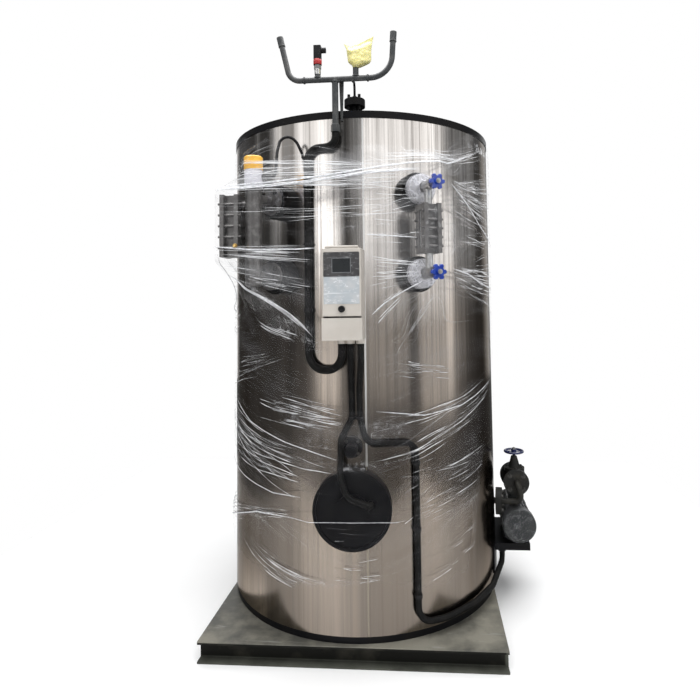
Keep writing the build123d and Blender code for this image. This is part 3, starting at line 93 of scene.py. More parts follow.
class BoilerSizes(bpy.types.PropertyGroup):
    """Sizes of the fittings that are added to the boiler."""

    hose_pitch: FloatProperty(
        name="Hose pitch",
        description="Distance from one rib of a conduit to the next",
        default=0.0055,
        min=0.003,
        unit="LENGTH",
    )
    hose_depth: FloatProperty(
        name="Hose rib depth",
        description="How far the ribs of a conduit stand over the grooves",
        default=0.0016,
        unit="LENGTH",
    )
    bolt_radius: FloatProperty(
        name="Flange bolt radius",
        description="Corner radius of the hexagon heads on the flanges",
        default=0.0098,
        unit="LENGTH",
    )
    bead_radius: FloatProperty(
        name="Weld bead radius",
        description="Half width of a weld bead on the header",
        default=0.0026,
        unit="LENGTH",
    )
    film_gap: FloatProperty(
        name="Film gap",
        description="Distance from the jacket to the stretch film",
        default=0.004,
        unit="LENGTH",
    )
    film_low: FloatProperty(
        name="Film lower edge",
        description="Mean height of the lower edge of the stretch film",
        default=0.27,
        unit="LENGTH",
    )
    film_high: FloatProperty(
        name="Film upper edge",
        description="Mean height of the upper edge of the stretch film",
        default=2.0,
        unit="LENGTH",
    )
    film_steps: IntProperty(
        name="Film steps",
        description="Number of steps of the film round the drum",
        default=330,
        min=60,
    )


class BoilerColours(bpy.types.PropertyGroup):
    """Main colours of the boiler."""

    frame_paint: FloatVectorProperty(
        name="Frame paint",
        description="Olive-grey paint of the base frame",
        default=(0.062, 0.061, 0.052),
        subtype="COLOR",
        min=0.0,
        max=1.0,
    )
    black_paint: FloatVectorProperty(
        name="Black paint",
        description="Paint of the rim, the rings and the round cover",
        default=(0.008, 0.008, 0.009),
        subtype="COLOR",
        min=0.0,
        max=1.0,
    )
    header_paint: FloatVectorProperty(
        name="Header paint",
        description="Dark grey paint of the instrument header",
        default=(0.045, 0.048, 0.05),
        subtype="COLOR",
        min=0.0,
        max=1.0,
    )
    box_paint: FloatVectorProperty(
        name="Box paint",
        description="Warm white powder coat of the control box",
        default=(0.60, 0.56, 0.51),
        subtype="COLOR",
        min=0.0,
        max=1.0,
    )
    wheel_blue: FloatVectorProperty(
        name="Handwheel blue",
        description="Enamel of the gauge handwheels",
        default=(0.006, 0.035, 0.30),
        subtype="COLOR",
        min=0.0,
        max=1.0,
    )
    wheel_navy: FloatVectorProperty(
        name="Feed handwheel blue",
        description="Dark enamel of the feed valve handwheel",
        default=(0.006, 0.011, 0.06),
        subtype="COLOR",
        min=0.0,
        max=1.0,
    )
    bag_yellow: FloatVectorProperty(
        name="Bag yellow",
        description="Film bag tied round the pressure switch",
        default=(0.72, 0.66, 0.27),
        subtype="COLOR",
        min=0.0,
        max=1.0,
    )
    cap_yellow: FloatVectorProperty(
        name="Cap yellow",
        description="Screwed cap of the level probe",
        default=(0.90, 0.50, 0.06),
        subtype="COLOR",
        min=0.0,
        max=1.0,
    )


def sizes():
    """Sizes as set in the panel."""
    return bpy.context.scene.boiler_sizes


def colours():
    """Colours as set in the panel."""
    return bpy.context.scene.boiler_colours


def drum_point(angle, radius, height):
    """Point at an angle from the front, a distance from the axis and a height."""
    turn = math.radians(angle)
    return Vector((radius * math.sin(turn), -radius * math.cos(turn), height))


def outward(angle):
    """Unit vector that points away from the drum's axis."""
    return drum_point(angle, 1.0, 0.0)


def place(origin, normal, up=(0, 0, 1)):
    """Matrix whose z runs along the normal, with its y as near to up as it can be."""
    z = Vector(normal).normalized()
    x = Vector(up).cross(z)
    if x.length < 1e-6:
        x = Vector((1, 0, 0))
    x.normalize()
    y = z.cross(x)
    turn = Matrix((x, y, z)).transposed().to_4x4()
    return Matrix.Translation(origin) @ turn


def fade(value, start, end):
    """Smooth step from 0 at start to 1 at end."""
    share = min(1.0, max(0.0, (value - start) / (end - start)))
    return share * share * (3 - 2 * share)


def along(stops, share):
    """Value between stops of (share, value)."""
    for (first, low), (last, high) in zip(stops, stops[1:]):
        if share <= last:
            return low + (high - low) * (share - first) / (last - first)
    return stops[-1][1]


def piece(name, mesh, body="boiler", material=None, smooth=True):
    """Object at the origin that rides on a body."""
    made = bpy.data.objects.new(name, mesh)
    bpy.context.scene.collection.objects.link(made)
    if material is not None:
        mesh.materials.clear()
        mesh.materials.append(material)
    for face in mesh.polygons:
        face.use_smooth = smooth
    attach(made, body)
    return made


def mesh_of(name, form):
    """Turn a bmesh into a mesh with its faces outward."""
    bmesh.ops.recalc_face_normals(form, faces=form.faces)
    mesh = bpy.data.meshes.new(name)
    form.to_mesh(mesh)
    form.free()
    return mesh


def turned(profile, steps, matrix, form=None):
    """Surface of revolution of a profile of (radius, height) points, placed by a matrix."""
    form = form or bmesh.new()
    rings = []
    for radius, height in profile:
        if radius < 1e-6:
            rings.append([form.verts.new(matrix @ Vector((0, 0, height)))])
            continue
        ring = []
        for step in range(steps):
            turn = 2 * math.pi * step / steps
            point = Vector((radius * math.cos(turn), radius * math.sin(turn), height))
            ring.append(form.verts.new(matrix @ point))
        rings.append(ring)
    for low, high in zip(rings, rings[1:]):
        for step in range(steps):
            after = (step + 1) % steps
            corners = [low[step % len(low)], low[after % len(low)]]
            corners += [high[after % len(high)], high[step % len(high)]]
            unique = list(dict.fromkeys(corners))
            if len(unique) > 2:
                form.faces.new(unique)
    return form


def block(form, size, matrix, bevel):
    """Block with chamfered edges added to a form."""
    verts = bmesh.ops.create_cube(form, size=1.0)["verts"]
    bmesh.ops.scale(form, vec=size, verts=verts)
    bmesh.ops.transform(form, matrix=matrix, verts=verts)
    edges = list(dict.fromkeys(edge for vert in verts for edge in vert.link_edges))
    bmesh.ops.bevel(form, geom=edges, offset=bevel, segments=1, affect="EDGES", profile=0.5)


class Finish:
    """Node graph of one finish that reads Object coordinates."""

    def __init__(self, name, colour, roughness=0.5, metallic=0.0, coat=0.0):
        self.material = bpy.data.materials.new(name)
        self.material.use_nodes = True
        self.tree = self.material.node_tree
        self.shader = self.tree.nodes["Principled BSDF"]
        self.shader.inputs["Base Color"].default_value = (*colour, 1.0)
        self.shader.inputs["Roughness"].default_value = roughness
        self.shader.inputs["Metallic"].default_value = metallic
        self.shader.inputs["Coat Weight"].default_value = coat
        self.place = self.node("ShaderNodeTexCoord").outputs["Object"]

    def node(self, kind, **values):
        """New node with properties and inputs set by name."""
        made = self.tree.nodes.new(kind)
        for key, value in values.items():
            if hasattr(made, key):
                setattr(made, key, value)
            else:
                made.inputs[key.replace("_", " ")].default_value = value
        return made

    def link(self, source, target):
        """Join an output to an input."""
        self.tree.links.new(source, target)

    def noise(self, scale, detail=4.0, stretch=None, source=None, roughness=0.6):
        """Noise value on the object, stretched by a scale for each axis."""
        texture = self.node("ShaderNodeTexNoise", Scale=scale, Detail=detail, Roughness=roughness)
        start = source or self.place
        if stretch is not None:
            mapping = self.node("ShaderNodeMapping", Scale=stretch)
            self.link(start, mapping.inputs["Vector"])
            start = mapping.outputs["Vector"]
        self.link(start, texture.inputs["Vector"])
        return texture.outputs["Fac"]

    def ramp(self, value, stops):
        """Colours along a value, eased from stop to stop."""
        made = self.node("ShaderNodeValToRGB")
        made.color_ramp.interpolation = "EASE"
        band = made.color_ramp.elements
        while len(band) < len(stops):
            band.new(0.5)
        for element, (place_at, colour) in zip(band, stops):
            element.position = place_at
            element.color = (*colour, 1.0)
        self.link(value, made.inputs["Fac"])
        return made.outputs["Color"]

    def span(self, value, low, high, to_low, to_high):
        """Map a value from one span to another, held at its ends."""
        made = self.node("ShaderNodeMapRange")
        made.inputs["From Min"].default_value = low
        made.inputs["From Max"].default_value = high
        made.inputs["To Min"].default_value = to_low
        made.inputs["To Max"].default_value = to_high
        self.link(value, made.inputs["Value"])
        return made.outputs["Result"]

    def maths(self, operation, first, second=None):
        """One arithmetic step on values or numbers."""
        made = self.node("ShaderNodeMath", operation=operation)
        for slot, value in enumerate((first, second)):
            if value is None:
                continue
            if isinstance(value, (int, float)):
                made.inputs[slot].default_value = value
            else:
                self.link(value, made.inputs[slot])
        return made.outputs["Value"]

    def blend(self, factor, first, second):
        """Mix of two colours by a factor."""
        made = self.node("ShaderNodeMix", data_type="RGBA", blend_type="MIX")
        for slot, value in ((0, factor), (6, first), (7, second)):
            if isinstance(value, (int, float)):
                made.inputs[slot].default_value = value
            elif isinstance(value, tuple):
                made.inputs[slot].default_value = (*value, 1.0)
            else:
                self.link(value, made.inputs[slot])
        return made.outputs[2]

    def bump(self, height, strength, distance=0.001):
        """Bump on the shader, over any bump that is there."""
        made = self.node("ShaderNodeBump", Strength=strength, Distance=distance)
        self.link(height, made.inputs["Height"])
        before = self.shader.inputs["Normal"]
        if before.links:
            self.link(before.links[0].from_socket, made.inputs["Normal"])
        self.link(made.outputs["Normal"], before)

    def set(self, socket, value):
        """Feed a shader socket."""
        self.link(value, self.shader.inputs[socket])


def painted(name, colour, worn, roughness=(0.3, 0.5), metallic=0.0, patch=9.0, grain=260.0, bump=0.15,
            coat=0.0, scratches=0.0, amount=(0.45, 0.75), gloss=0.5):
    """Paint, enamel, plastic or metal with patches of wear, a fine grain and scratches."""
    made = Finish(name, colour, roughness[0], metallic, coat)
    made.shader.inputs["Specular IOR Level"].default_value = gloss
    broad = made.noise(patch, detail=6.0)
    fine = made.noise(grain, detail=2.0)
    shade = made.blend(made.span(broad, *amount, 0.0, 1.0), colour, worn)
    if scratches:
        lines = made.noise(38.0, detail=3.0, stretch=(0.12, 1.0, 1.0), roughness=0.75)
        cut = made.span(lines, 0.62, 0.70, 0.0, scratches)
        pale = tuple(min(1.0, channel * 2.2 + 0.10) for channel in colour)
        shade = made.blend(cut, shade, pale)
    made.set("Base Color", shade)
    made.set("Roughness", made.span(broad, 0.3, 0.7, *roughness))
    made.bump(fine, bump, 0.0006)
    return made.material


# Painted reflections of the polished sheet: base-colour brightness as (angle, brightness), the light and
# dark surroundings it mirrors, from the top zone of the drum to its foot
UPPER_PAINTED_REFLECTIONS = (
    (-180, 0.40), (-158, 0.80), (-130, 0.30), (-106, 0.60), (-88, 0.12), (-58, 0.12), (-44, 0.10),
    (-40.5, 0.62), (-38, 0.12), (-34, 0.12), (-31.5, 0.72), (-28, 0.72), (-26.5, 0.14), (-22.5, 0.16),
    (-20, 0.62), (-10, 0.84), (-3, 0.80), (0, 0.12), (4, 0.80), (8, 0.86), (13, 0.72), (36, 0.80),
    (44, 0.72), (50, 0.82), (57, 0.80), (61, 0.24), (74, 0.10), (94, 0.36), (120, 0.74), (145, 0.28),
    (180, 0.40),
)
MIDDLE_PAINTED_REFLECTIONS = (
    (-180, 0.16), (-140, 0.28), (-110, 0.08), (-72, 0.05), (-56, 0.045), (-42, 0.06), (-37, 0.14),
    (-33, 0.10), (-30, 0.10), (-26, 0.19), (-22, 0.09), (-19, 0.17), (-12, 0.26), (-7, 0.22),
    (-3, 0.24), (0.5, 0.06), (4, 0.20), (10, 0.24), (20, 0.22), (33, 0.26), (39, 0.25), (42, 0.48),
    (50, 0.50), (54, 0.20), (60, 0.09), (68, 0.04), (80, 0.02), (95, 0.06), (130, 0.26), (155, 0.10),
    (180, 0.16),
)
LOW_PAINTED_REFLECTIONS = (
    (-180, 0.28), (-140, 0.22), (-95, 0.08), (-56, 0.080), (-36, 0.10), (-25, 0.16), (-12, 0.33),
    (-5, 0.34), (2, 0.26), (8, 0.19), (20, 0.19), (33, 0.25), (45, 0.17), (52, 0.11), (58, 0.05),
    (65, 0.02), (90, 0.03), (130, 0.22), (180, 0.28),
)
FOOT_PAINTED_REFLECTIONS = (
    (-180, 0.28), (-90, 0.20), (-64, 0.46), (-50, 0.48), (-37, 0.44), (-32, 0.19), (-24, 0.18),
    (-12, 0.30), (-5, 0.34), (2, 0.27), (8, 0.19), (20, 0.19), (33, 0.22), (44, 0.20), (54, 0.16),
    (60, 0.22), (66, 0.34), (72, 0.20), (80, 0.05), (100, 0.12), (130, 0.24), (180, 0.28),
)


def painted_reflection_stops(tones, warmth):
    """Ramp stops of painted reflections round the drum, from angles and brightnesses."""
    return tuple(
        ((angle + 180) / 360, (value, value * (1 - 0.16 * warmth), value * (1 - 0.30 * warmth)))
        for angle, value in tones
    )


def polished_jacket():
    """Mirror-polished sheet whose base colour carries painted reflections: soft upright bands of light and
    dark round the drum, changing with height.
    """
    made = Finish("polished_jacket", (0.6, 0.58, 0.55), 0.16, 1.0)
    made.shader.inputs["Specular Tint"].default_value = (0.50, 0.48, 0.46, 1.0)
    parts = made.node("ShaderNodeSeparateXYZ")
    made.link(made.place, parts.inputs["Vector"])
    behind = made.maths("MULTIPLY", parts.outputs["Y"], -1.0)
    angle = made.maths("ARCTAN2", parts.outputs["X"], behind)
    round_the_drum = made.span(angle, -math.pi, math.pi, 0.0, 1.0)
    height = parts.outputs["Z"]
    wobble = made.noise(1.1, detail=2.0, stretch=(1.0, 1.0, 0.35))
    shift = made.span(wobble, 0.3, 0.7, -0.006, 0.006)
    bands_at = made.maths("ADD", round_the_drum, shift)
    # Painted reflections: light and dark bands round the drum at four heights, blended from the foot up to
    # the top zone.
    upper_reflection_bands = made.ramp(bands_at, painted_reflection_stops(UPPER_PAINTED_REFLECTIONS, 0.30))
    middle_reflection_bands = made.ramp(bands_at, painted_reflection_stops(MIDDLE_PAINTED_REFLECTIONS, 0.85))
    low_reflection_bands = made.ramp(bands_at, painted_reflection_stops(LOW_PAINTED_REFLECTIONS, 1.0))
    foot_reflection_bands = made.ramp(bands_at, painted_reflection_stops(FOOT_PAINTED_REFLECTIONS, 1.0))
    rise = made.maths("ADD", height, made.span(wobble, 0.2, 0.8, -0.10, 0.10))
    shade = made.blend(made.span(height, 0.17, 0.34, 0.0, 1.0), foot_reflection_bands, low_reflection_bands)
    shade = made.blend(made.span(rise, 0.84, 1.20, 0.0, 1.0), shade, middle_reflection_bands)
    shade = made.blend(made.span(rise, 1.28, 1.58, 0.0, 1.0), shade, upper_reflection_bands)
    # Painted reflections: darker vertical streaks in the base colour stand in for dark streaks mirrored in
    # the sheet; the same noise sets the roughness.
    streaks = made.noise(3.0, detail=6.0, stretch=(9.0, 9.0, 0.16), roughness=0.7)
    shade = made.blend(made.span(streaks, 0.30, 0.72, 0.0, 0.55), shade, (0.20, 0.18, 0.16))
    # Fine darker lines: partly the sheet's own grain, partly painted dark reflected streaks, stronger higher
    # up.
    grain_and_reflected_streaks = made.noise(13.0, detail=4.0, stretch=(6.0, 6.0, 0.05), roughness=0.7)
    grain = made.span(grain_and_reflected_streaks, 0.48, 0.64, 0.0, 1.0)
    grain = made.maths("MULTIPLY", grain, made.span(rise, 0.6, 1.2, 0.24, 0.55))
    shade = made.blend(grain, shade, (0.10, 0.09, 0.08))
    made.set("Base Color", shade)
    made.set("Roughness", made.span(streaks, 0.3, 0.7, 0.14, 0.26))
    made.bump(made.noise(2.2, detail=2.0), 0.25, 0.004)
    return made.material


def seam_finish():
    """Bright seam strip with a painted highlight above and painted shade at the foot."""
    made = Finish("seam_strip", (0.80, 0.79, 0.77), 0.28, 1.0)
    parts = made.node("ShaderNodeSeparateXYZ")
    made.link(made.place, parts.inputs["Vector"])
    wear = made.noise(30.0, detail=3.0, stretch=(1.0, 1.0, 0.3))
    rise = made.maths("ADD", parts.outputs["Z"], made.span(wear, 0.3, 0.7, -0.05, 0.05))
    # Painted highlight above and painted shade at the foot: the base colour goes from dark at the foot to
    # near white above; the noise that makes the bump also makes the edge between them ragged.
    painted_highlight = made.span(rise, 0.45, 1.0, 0.0, 1.0)
    made.set("Base Color", made.blend(painted_highlight, (0.25, 0.22, 0.18), (0.84, 0.83, 0.81)))
    made.bump(wear, 0.2, 0.001)
    return made.material


def stretch_film_finish():
    """Clear film with bright drawn lines; its alpha follows the lines, the film's own weight, and the
    creases and painted glints where it is crumpled.
    """
    made = Finish("stretch_film", (0.95, 0.96, 0.98), 0.24)
    made.shader.inputs["IOR"].default_value = 1.48
    chart = made.node("ShaderNodeUVMap", uv_map="drawn").outputs["UV"]
    weight = made.node("ShaderNodeAttribute", attribute_name="weight").outputs["Fac"]
    crumple = made.node("ShaderNodeAttribute", attribute_name="crumple").outputs["Fac"]
    fine = made.noise(1.0, detail=5.0, stretch=(1.7, 150.0, 1.0), source=chart, roughness=0.62)
    broad = made.noise(1.0, detail=4.0, stretch=(0.9, 34.0, 1.0), source=chart, roughness=0.6)
    patches = made.noise(1.0, detail=3.0, stretch=(2.6, 5.0, 1.0), source=chart)
    thin_lines = made.span(fine, 0.57, 0.72, 0.0, 0.9)
    wide_lines = made.span(broad, 0.55, 0.80, 0.0, 0.55)
    lines = made.maths("MAXIMUM", thin_lines, wide_lines)
    lines = made.maths("MULTIPLY", lines, made.span(patches, 0.36, 0.62, 0.10, 1.0))
    haze = made.span(patches, 0.45, 0.75, 0.0, 0.18)
    veil = made.maths("MAXIMUM", made.maths("MULTIPLY", lines, 0.68), haze)
    veil = made.maths("MULTIPLY", veil, weight)
    # Crumpled film: white crease lines, and painted glints, bright spots that stand in for highlights, raise
    # the film's alpha where it is crumpled.
    folds = made.noise(17.0, detail=2.0, roughness=0.5)
    ridge = made.span(made.maths("ABSOLUTE", made.maths("SUBTRACT", folds, 0.5)), 0.0, 0.022, 1.0, 0.0)
    small = made.noise(34.0, detail=1.5)
    painted_glint = made.span(small, 0.60, 0.68, 0.0, 0.9)
    ridge = made.maths("MAXIMUM", ridge, painted_glint)
    ridge = made.maths("MULTIPLY", ridge, made.span(broad, 0.42, 0.6, 0.15, 1.0))
    creases_and_painted_glints = made.maths("MULTIPLY", made.maths("ADD", made.maths("MULTIPLY", ridge, 0.62), 0.06), crumple)
    alpha = made.maths("MINIMUM", made.maths("ADD", veil, creases_and_painted_glints), 0.92)
    made.set("Alpha", alpha)
    whiteness = made.span(alpha, 0.02, 0.35, 0.0, 1.0)
    made.set("Base Color", made.blend(whiteness, (0.50, 0.50, 0.52), (0.95, 0.96, 0.98)))
    made.bump(broad, 0.22, 0.003)
    return made.material


def film_wrap_finish(name, haze, crease):
    """Film bunched over a fitting: a haze with sharp white creases."""
    made = Finish(name, (0.84, 0.84, 0.90), 0.2)
    folds = made.noise(24.0, detail=2.5)
    alpha = made.span(made.maths("ABSOLUTE", made.maths("SUBTRACT", folds, 0.5)), 0.0, 0.035, crease, haze)
    made.set("Alpha", alpha)
    made.bump(folds, 0.6, 0.003)
    return made.material


def film_strand_finish():
    """Drawn strand of film: white where it is bunched, clear between."""
    made = Finish("film_strand", (0.93, 0.94, 0.96), 0.25)
    breaks = made.span(made.noise(9.0, detail=3.0), 0.36, 0.62, 0.35, 0.90)
    thick = made.node("ShaderNodeAttribute", attribute_name="thick").outputs["Fac"]
    made.set("Alpha", made.maths("MULTIPLY", breaks, made.span(thick, 0.0003, 0.0013, 0.18, 1.0)))
    return made.material


def film_rope_finish():
    """Film drawn into a rope: white, creased along its length, still a little clear."""
    made = Finish("film_rope", (0.90, 0.91, 0.94), 0.25)
    creases = made.noise(240.0, detail=4.0, stretch=(0.3, 0.3, 1.0))
    made.set("Alpha", made.span(creases, 0.35, 0.65, 0.35, 0.9))
    made.bump(creases, 0.8, 0.002)
    return made.material


def bag_finish():
    """Thin yellow plastic film, crumpled, with a little light scattered in it."""
    yellow = tuple(colours().bag_yellow)
    made = Finish("bag_film", yellow, 0.32)
    creases = made.noise(36.0, detail=3.0)
    pale = tuple(min(1.0, channel + 0.10) for channel in yellow)
    made.set("Base Color", made.blend(made.span(creases, 0.4, 0.7, 0.0, 1.0), yellow, pale))
    made.shader.inputs["Subsurface Weight"].default_value = 0.25
    made.shader.inputs["Subsurface Radius"].default_value = (0.01, 0.008, 0.003)
    made.bump(creases, 0.45, 0.003)
    return made.material


def film_laid_on(name, colour, worn, lines):
    """Smooth plastic sheet with clear film clinging to it: thin white creases, mostly level."""
    made = Finish(name, colour, 0.3)
    broad = made.noise(26.0, detail=3.0)
    shade = made.blend(made.span(broad, 0.4, 0.7, 0.0, 1.0), colour, worn)
    folds = made.noise(34.0, detail=3.0, stretch=(0.45, 1.0, 1.7))
    ridge = made.span(made.maths("ABSOLUTE", made.maths("SUBTRACT", folds, 0.5)), 0.0, 0.018, lines, 0.0)
    strands = made.noise(90.0, detail=2.0, stretch=(0.06, 1.0, 1.0))
    ridge = made.maths("MULTIPLY", ridge, made.span(broad, 0.42, 0.58, 0.1, 1.0))
    ridge = made.maths("MAXIMUM", ridge, made.span(strands, 0.66, 0.76, 0.0, lines))
    made.set("Base Color", made.blend(ridge, shade, (0.92, 0.93, 0.95)))
    made.bump(folds, 0.25, 0.001)
    return made.material


def rail_finish():
    """Channel paint, near black in the web as painted shade under the upper flange, with scuff patches; the
    lower flange is painted lighter grey-green as a painted highlight where light falls on its top, and the
    right end is painted lighter as well.
    """
    made = Finish("rail_paint", (0.010, 0.010, 0.0085), 0.6)
    made.shader.inputs["Specular IOR Level"].default_value = 0.08
    parts = made.node("ShaderNodeSeparateXYZ")
    made.link(made.place, parts.inputs["Vector"])
    # Painted highlight: the lower flange and the right end are painted lighter, broken up by the noise.
    low = made.span(parts.outputs["Z"], 0.0085, 0.0125, 1.0, 0.0)
    end = made.span(parts.outputs["X"], 0.560, 0.568, 0.0, 1.0)
    scuffs_and_light_patches = made.noise(6.0, detail=6.0)
    painted_lighter_flange_and_end = made.maths("MULTIPLY", made.maths("MAXIMUM", low, end), made.span(scuffs_and_light_patches, 0.30, 0.60, 0.45, 1.0))
    # Painted shade: the web stays near black, with lighter scuff patches.
    web = made.blend(made.span(scuffs_and_light_patches, 0.52, 0.72, 0.0, 1.0), (0.010, 0.010, 0.0085), (0.035, 0.033, 0.026))
    made.set("Base Color", made.blend(painted_lighter_flange_and_end, web, (0.085, 0.088, 0.074)))
    made.bump(made.noise(260.0, detail=2.0), 0.3, 0.0006)
    return made.material


FINISHES = {}


def make_finishes():
    """All the finishes by name."""
    hue = colours()
    black = tuple(hue.black_paint)
    FINISHES.update({
        "jacket": polished_jacket(),
        "film": stretch_film_finish(),
        "bag": bag_finish(),
        "rope": film_rope_finish(),
        "wrap": film_wrap_finish("film_wrap", 0.24, 0.62),
        "thin_wrap": film_wrap_finish("film_thin_wrap", 0.008, 0.07),
        "strand": film_strand_finish(),
        "seam": seam_finish(),
        "bright": painted("bright_steel", (0.86, 0.86, 0.85), (0.70, 0.69, 0.66), (0.12, 0.25), 1.0,
                          patch=60.0),
        "trim": painted("display_trim", (0.16, 0.17, 0.18), (0.24, 0.24, 0.25), (0.3, 0.4), patch=80.0),
        "zinc_dark": painted("dark_bolts", (0.045, 0.044, 0.042), (0.11, 0.105, 0.095), (0.4, 0.55), 0.6,
                             patch=140.0, gloss=0.2),
        "black": painted("black_paint", black, (0.012, 0.011, 0.010), (0.28, 0.46), bump=0.10, gloss=0.07),
        "frame": painted("frame_paint", tuple(hue.frame_paint), (0.20, 0.19, 0.155), (0.45, 0.7),
                         patch=4.5, bump=0.3, scratches=0.8, amount=(0.42, 0.62)),
        "rail": rail_finish(),
        "header": painted("header_paint", tuple(hue.header_paint), (0.09, 0.09, 0.088), (0.25, 0.42),
                          patch=26.0, bump=0.10, gloss=0.3),
        "rubber": painted("black_plastic", (0.009, 0.009, 0.010), (0.02, 0.02, 0.02), (0.38, 0.55),
                          patch=40.0, gloss=0.16),
        "hose": painted("hose_black", (0.008, 0.008, 0.008), (0.016, 0.015, 0.014), (0.36, 0.5),
                        patch=30.0, gloss=0.07),
        "box": painted("box_powder_coat", tuple(hue.box_paint), (0.53, 0.49, 0.44), (0.35, 0.5),
                       patch=7.0, grain=900.0, bump=0.2),
        "panel": film_laid_on("membrane_panel", (0.045, 0.044, 0.046), (0.07, 0.068, 0.07), 0.34),
        "glass": painted("display_glass", (0.018, 0.02, 0.022), (0.03, 0.032, 0.034), (0.05, 0.12),
                         coat=0.6),
        "label": film_laid_on("label_sheet", (0.46, 0.50, 0.53), (0.56, 0.57, 0.58), 0.85),
        "blue": painted("wheel_blue", tuple(hue.wheel_blue), (0.01, 0.06, 0.42), (0.18, 0.32), patch=60.0,
                        coat=0.5),
        "navy": painted("wheel_navy", tuple(hue.wheel_navy), (0.015, 0.02, 0.08), (0.22, 0.4), patch=40.0,
                        coat=0.3),
        "gauge": painted("gauge_steel", (0.105, 0.10, 0.098), (0.20, 0.195, 0.19), (0.32, 0.5), 0.6,
                         patch=45.0, bump=0.3),
        "steel": painted("bare_steel", (0.50, 0.50, 0.50), (0.34, 0.33, 0.32), (0.25, 0.45), 1.0, patch=50.0,
                         bump=0.2),
        "zinc": painted("zinc_bolts", (0.42, 0.42, 0.41), (0.25, 0.24, 0.22), (0.3, 0.5), 1.0, patch=120.0),
        "brass": painted("brass_plug", (0.60, 0.40, 0.14), (0.36, 0.25, 0.11), (0.25, 0.4), 1.0, patch=90.0),
        "white": painted("probe_white", (0.66, 0.65, 0.72), (0.75, 0.74, 0.78), (0.3, 0.45), patch=30.0),
        "yellow": painted("cap_yellow", tuple(hue.cap_yellow), (0.78, 0.40, 0.05), (0.3, 0.45), patch=30.0),
        "red": painted("red_ring", (0.42, 0.02, 0.02), (0.3, 0.015, 0.015), (0.3, 0.45), patch=50.0),
        "iron": painted("cast_iron", (0.013, 0.013, 0.012), (0.035, 0.032, 0.025), (0.45, 0.65), patch=22.0,
                        grain=180.0, bump=0.4, gloss=0.2),
        "motor": painted("motor_paint", (0.015, 0.017, 0.017), (0.032, 0.034, 0.033), (0.34, 0.55),
                         patch=16.0, bump=0.3, gloss=0.25),
        "wool": painted("mineral_wool", (0.50, 0.44, 0.30), (0.40, 0.35, 0.24), (0.8, 0.95),
                        grain=120.0, bump=0.8),
    })


NODE_FINISHES = {
    "frame": ("base_plate",),
    "rail": ("base_front_rail", "base_rear_rail", "base_left_rail", "base_right_rail", "base_joist"),
    "black": ("bottom_ring", "top_cover", "level_nozzles", "instrument_branch", "front_cover", "sight_port",
              "pump_shelf"),
    "steel": ("pressure_vessel", "upper_gauge_valve", "lower_gauge_valve"),
    "wool": ("insulation",),
    "jacket": ("cladding_left", "cladding_right"),
    "header": ("flue_collar", "steam_outlet", "instrument_header", "header_left_arm", "header_right_arm",
               "header_bracket", "blowdown_nozzle"),
    "rubber": ("pressure_transmitter", "conduit_clips", "probe_cable"),
    "blue": ("upper_gauge_handwheel", "lower_gauge_handwheel"),
    "gauge": ("level_gauge", "water_column", "column_level_gauge"),
    "white": ("probe_head",),
    "yellow": ("probe_cap",),
    "box": ("control_box", "control_box_door"),
    "panel": ("display_panel",),
    "iron": ("feed_nozzle", "feed_pipe", "feed_valve", "feed_pump"),
    "navy": ("feed_valve_handwheel",),
    "motor": ("pump_motor",),
}


class BOILER_OT_finishes(bpy.types.Operator):
    """Make the finishes and give each part of the boiler its own"""

    bl_idname = "boiler.finishes"
    bl_label = "Paint and polish"

    def execute(self, context):
        make_finishes()
        for finish, names in NODE_FINISHES.items():
            for name in names:
                part = bpy.data.objects[name]
                if not part.material_slots:
                    part.data.materials.append(None)
                for each in part.material_slots:
                    each.material = FINISHES[finish]
        return {"FINISHED"}


def group_tree(name, inputs):
    """Geometry tree with named inputs, which ends in Realize Instances and Set Material."""
    tree = bpy.data.node_groups.new(name, "GeometryNodeTree")
    tree.interface.new_socket("Geometry", in_out="INPUT", socket_type="NodeSocketGeometry")
    keys = {}
    for label, kind in inputs:
        keys[label] = tree.interface.new_socket(label, in_out="INPUT", socket_type=kind).identifier
    tree.interface.new_socket("Geometry", in_out="OUTPUT", socket_type="NodeSocketGeometry")
    start = tree.nodes.new("NodeGroupInput")
    end = tree.nodes.new("NodeGroupOutput")
    real = tree.nodes.new("GeometryNodeRealizeInstances")
    dress = tree.nodes.new("GeometryNodeSetMaterial")
    tree.links.new(real.outputs["Geometry"], dress.inputs["Geometry"])
    tree.links.new(start.outputs["Material"], dress.inputs["Material"])
    tree.links.new(dress.outputs["Geometry"], end.inputs["Geometry"])
    return tree, keys, start, real


def grown(source, tree, keys, **values):
    """Plain mesh that a geometry tree makes from a source mesh."""
    carrier = bpy.data.objects.new("carrier", source)
    bpy.context.scene.collection.objects.link(carrier)
    modifier = carrier.modifiers.new("tree", "NODES")
    modifier.node_group = tree
    for label, value in values.items():
        modifier[keys[label.replace("_", " ")]] = value
    bpy.context.view_layer.update()
    seen = carrier.evaluated_get(bpy.context.evaluated_depsgraph_get())
    mesh = bpy.data.meshes.new_from_object(seen)
    carrier.modifiers.clear()
    bpy.data.objects.remove(carrier)
    return mesh


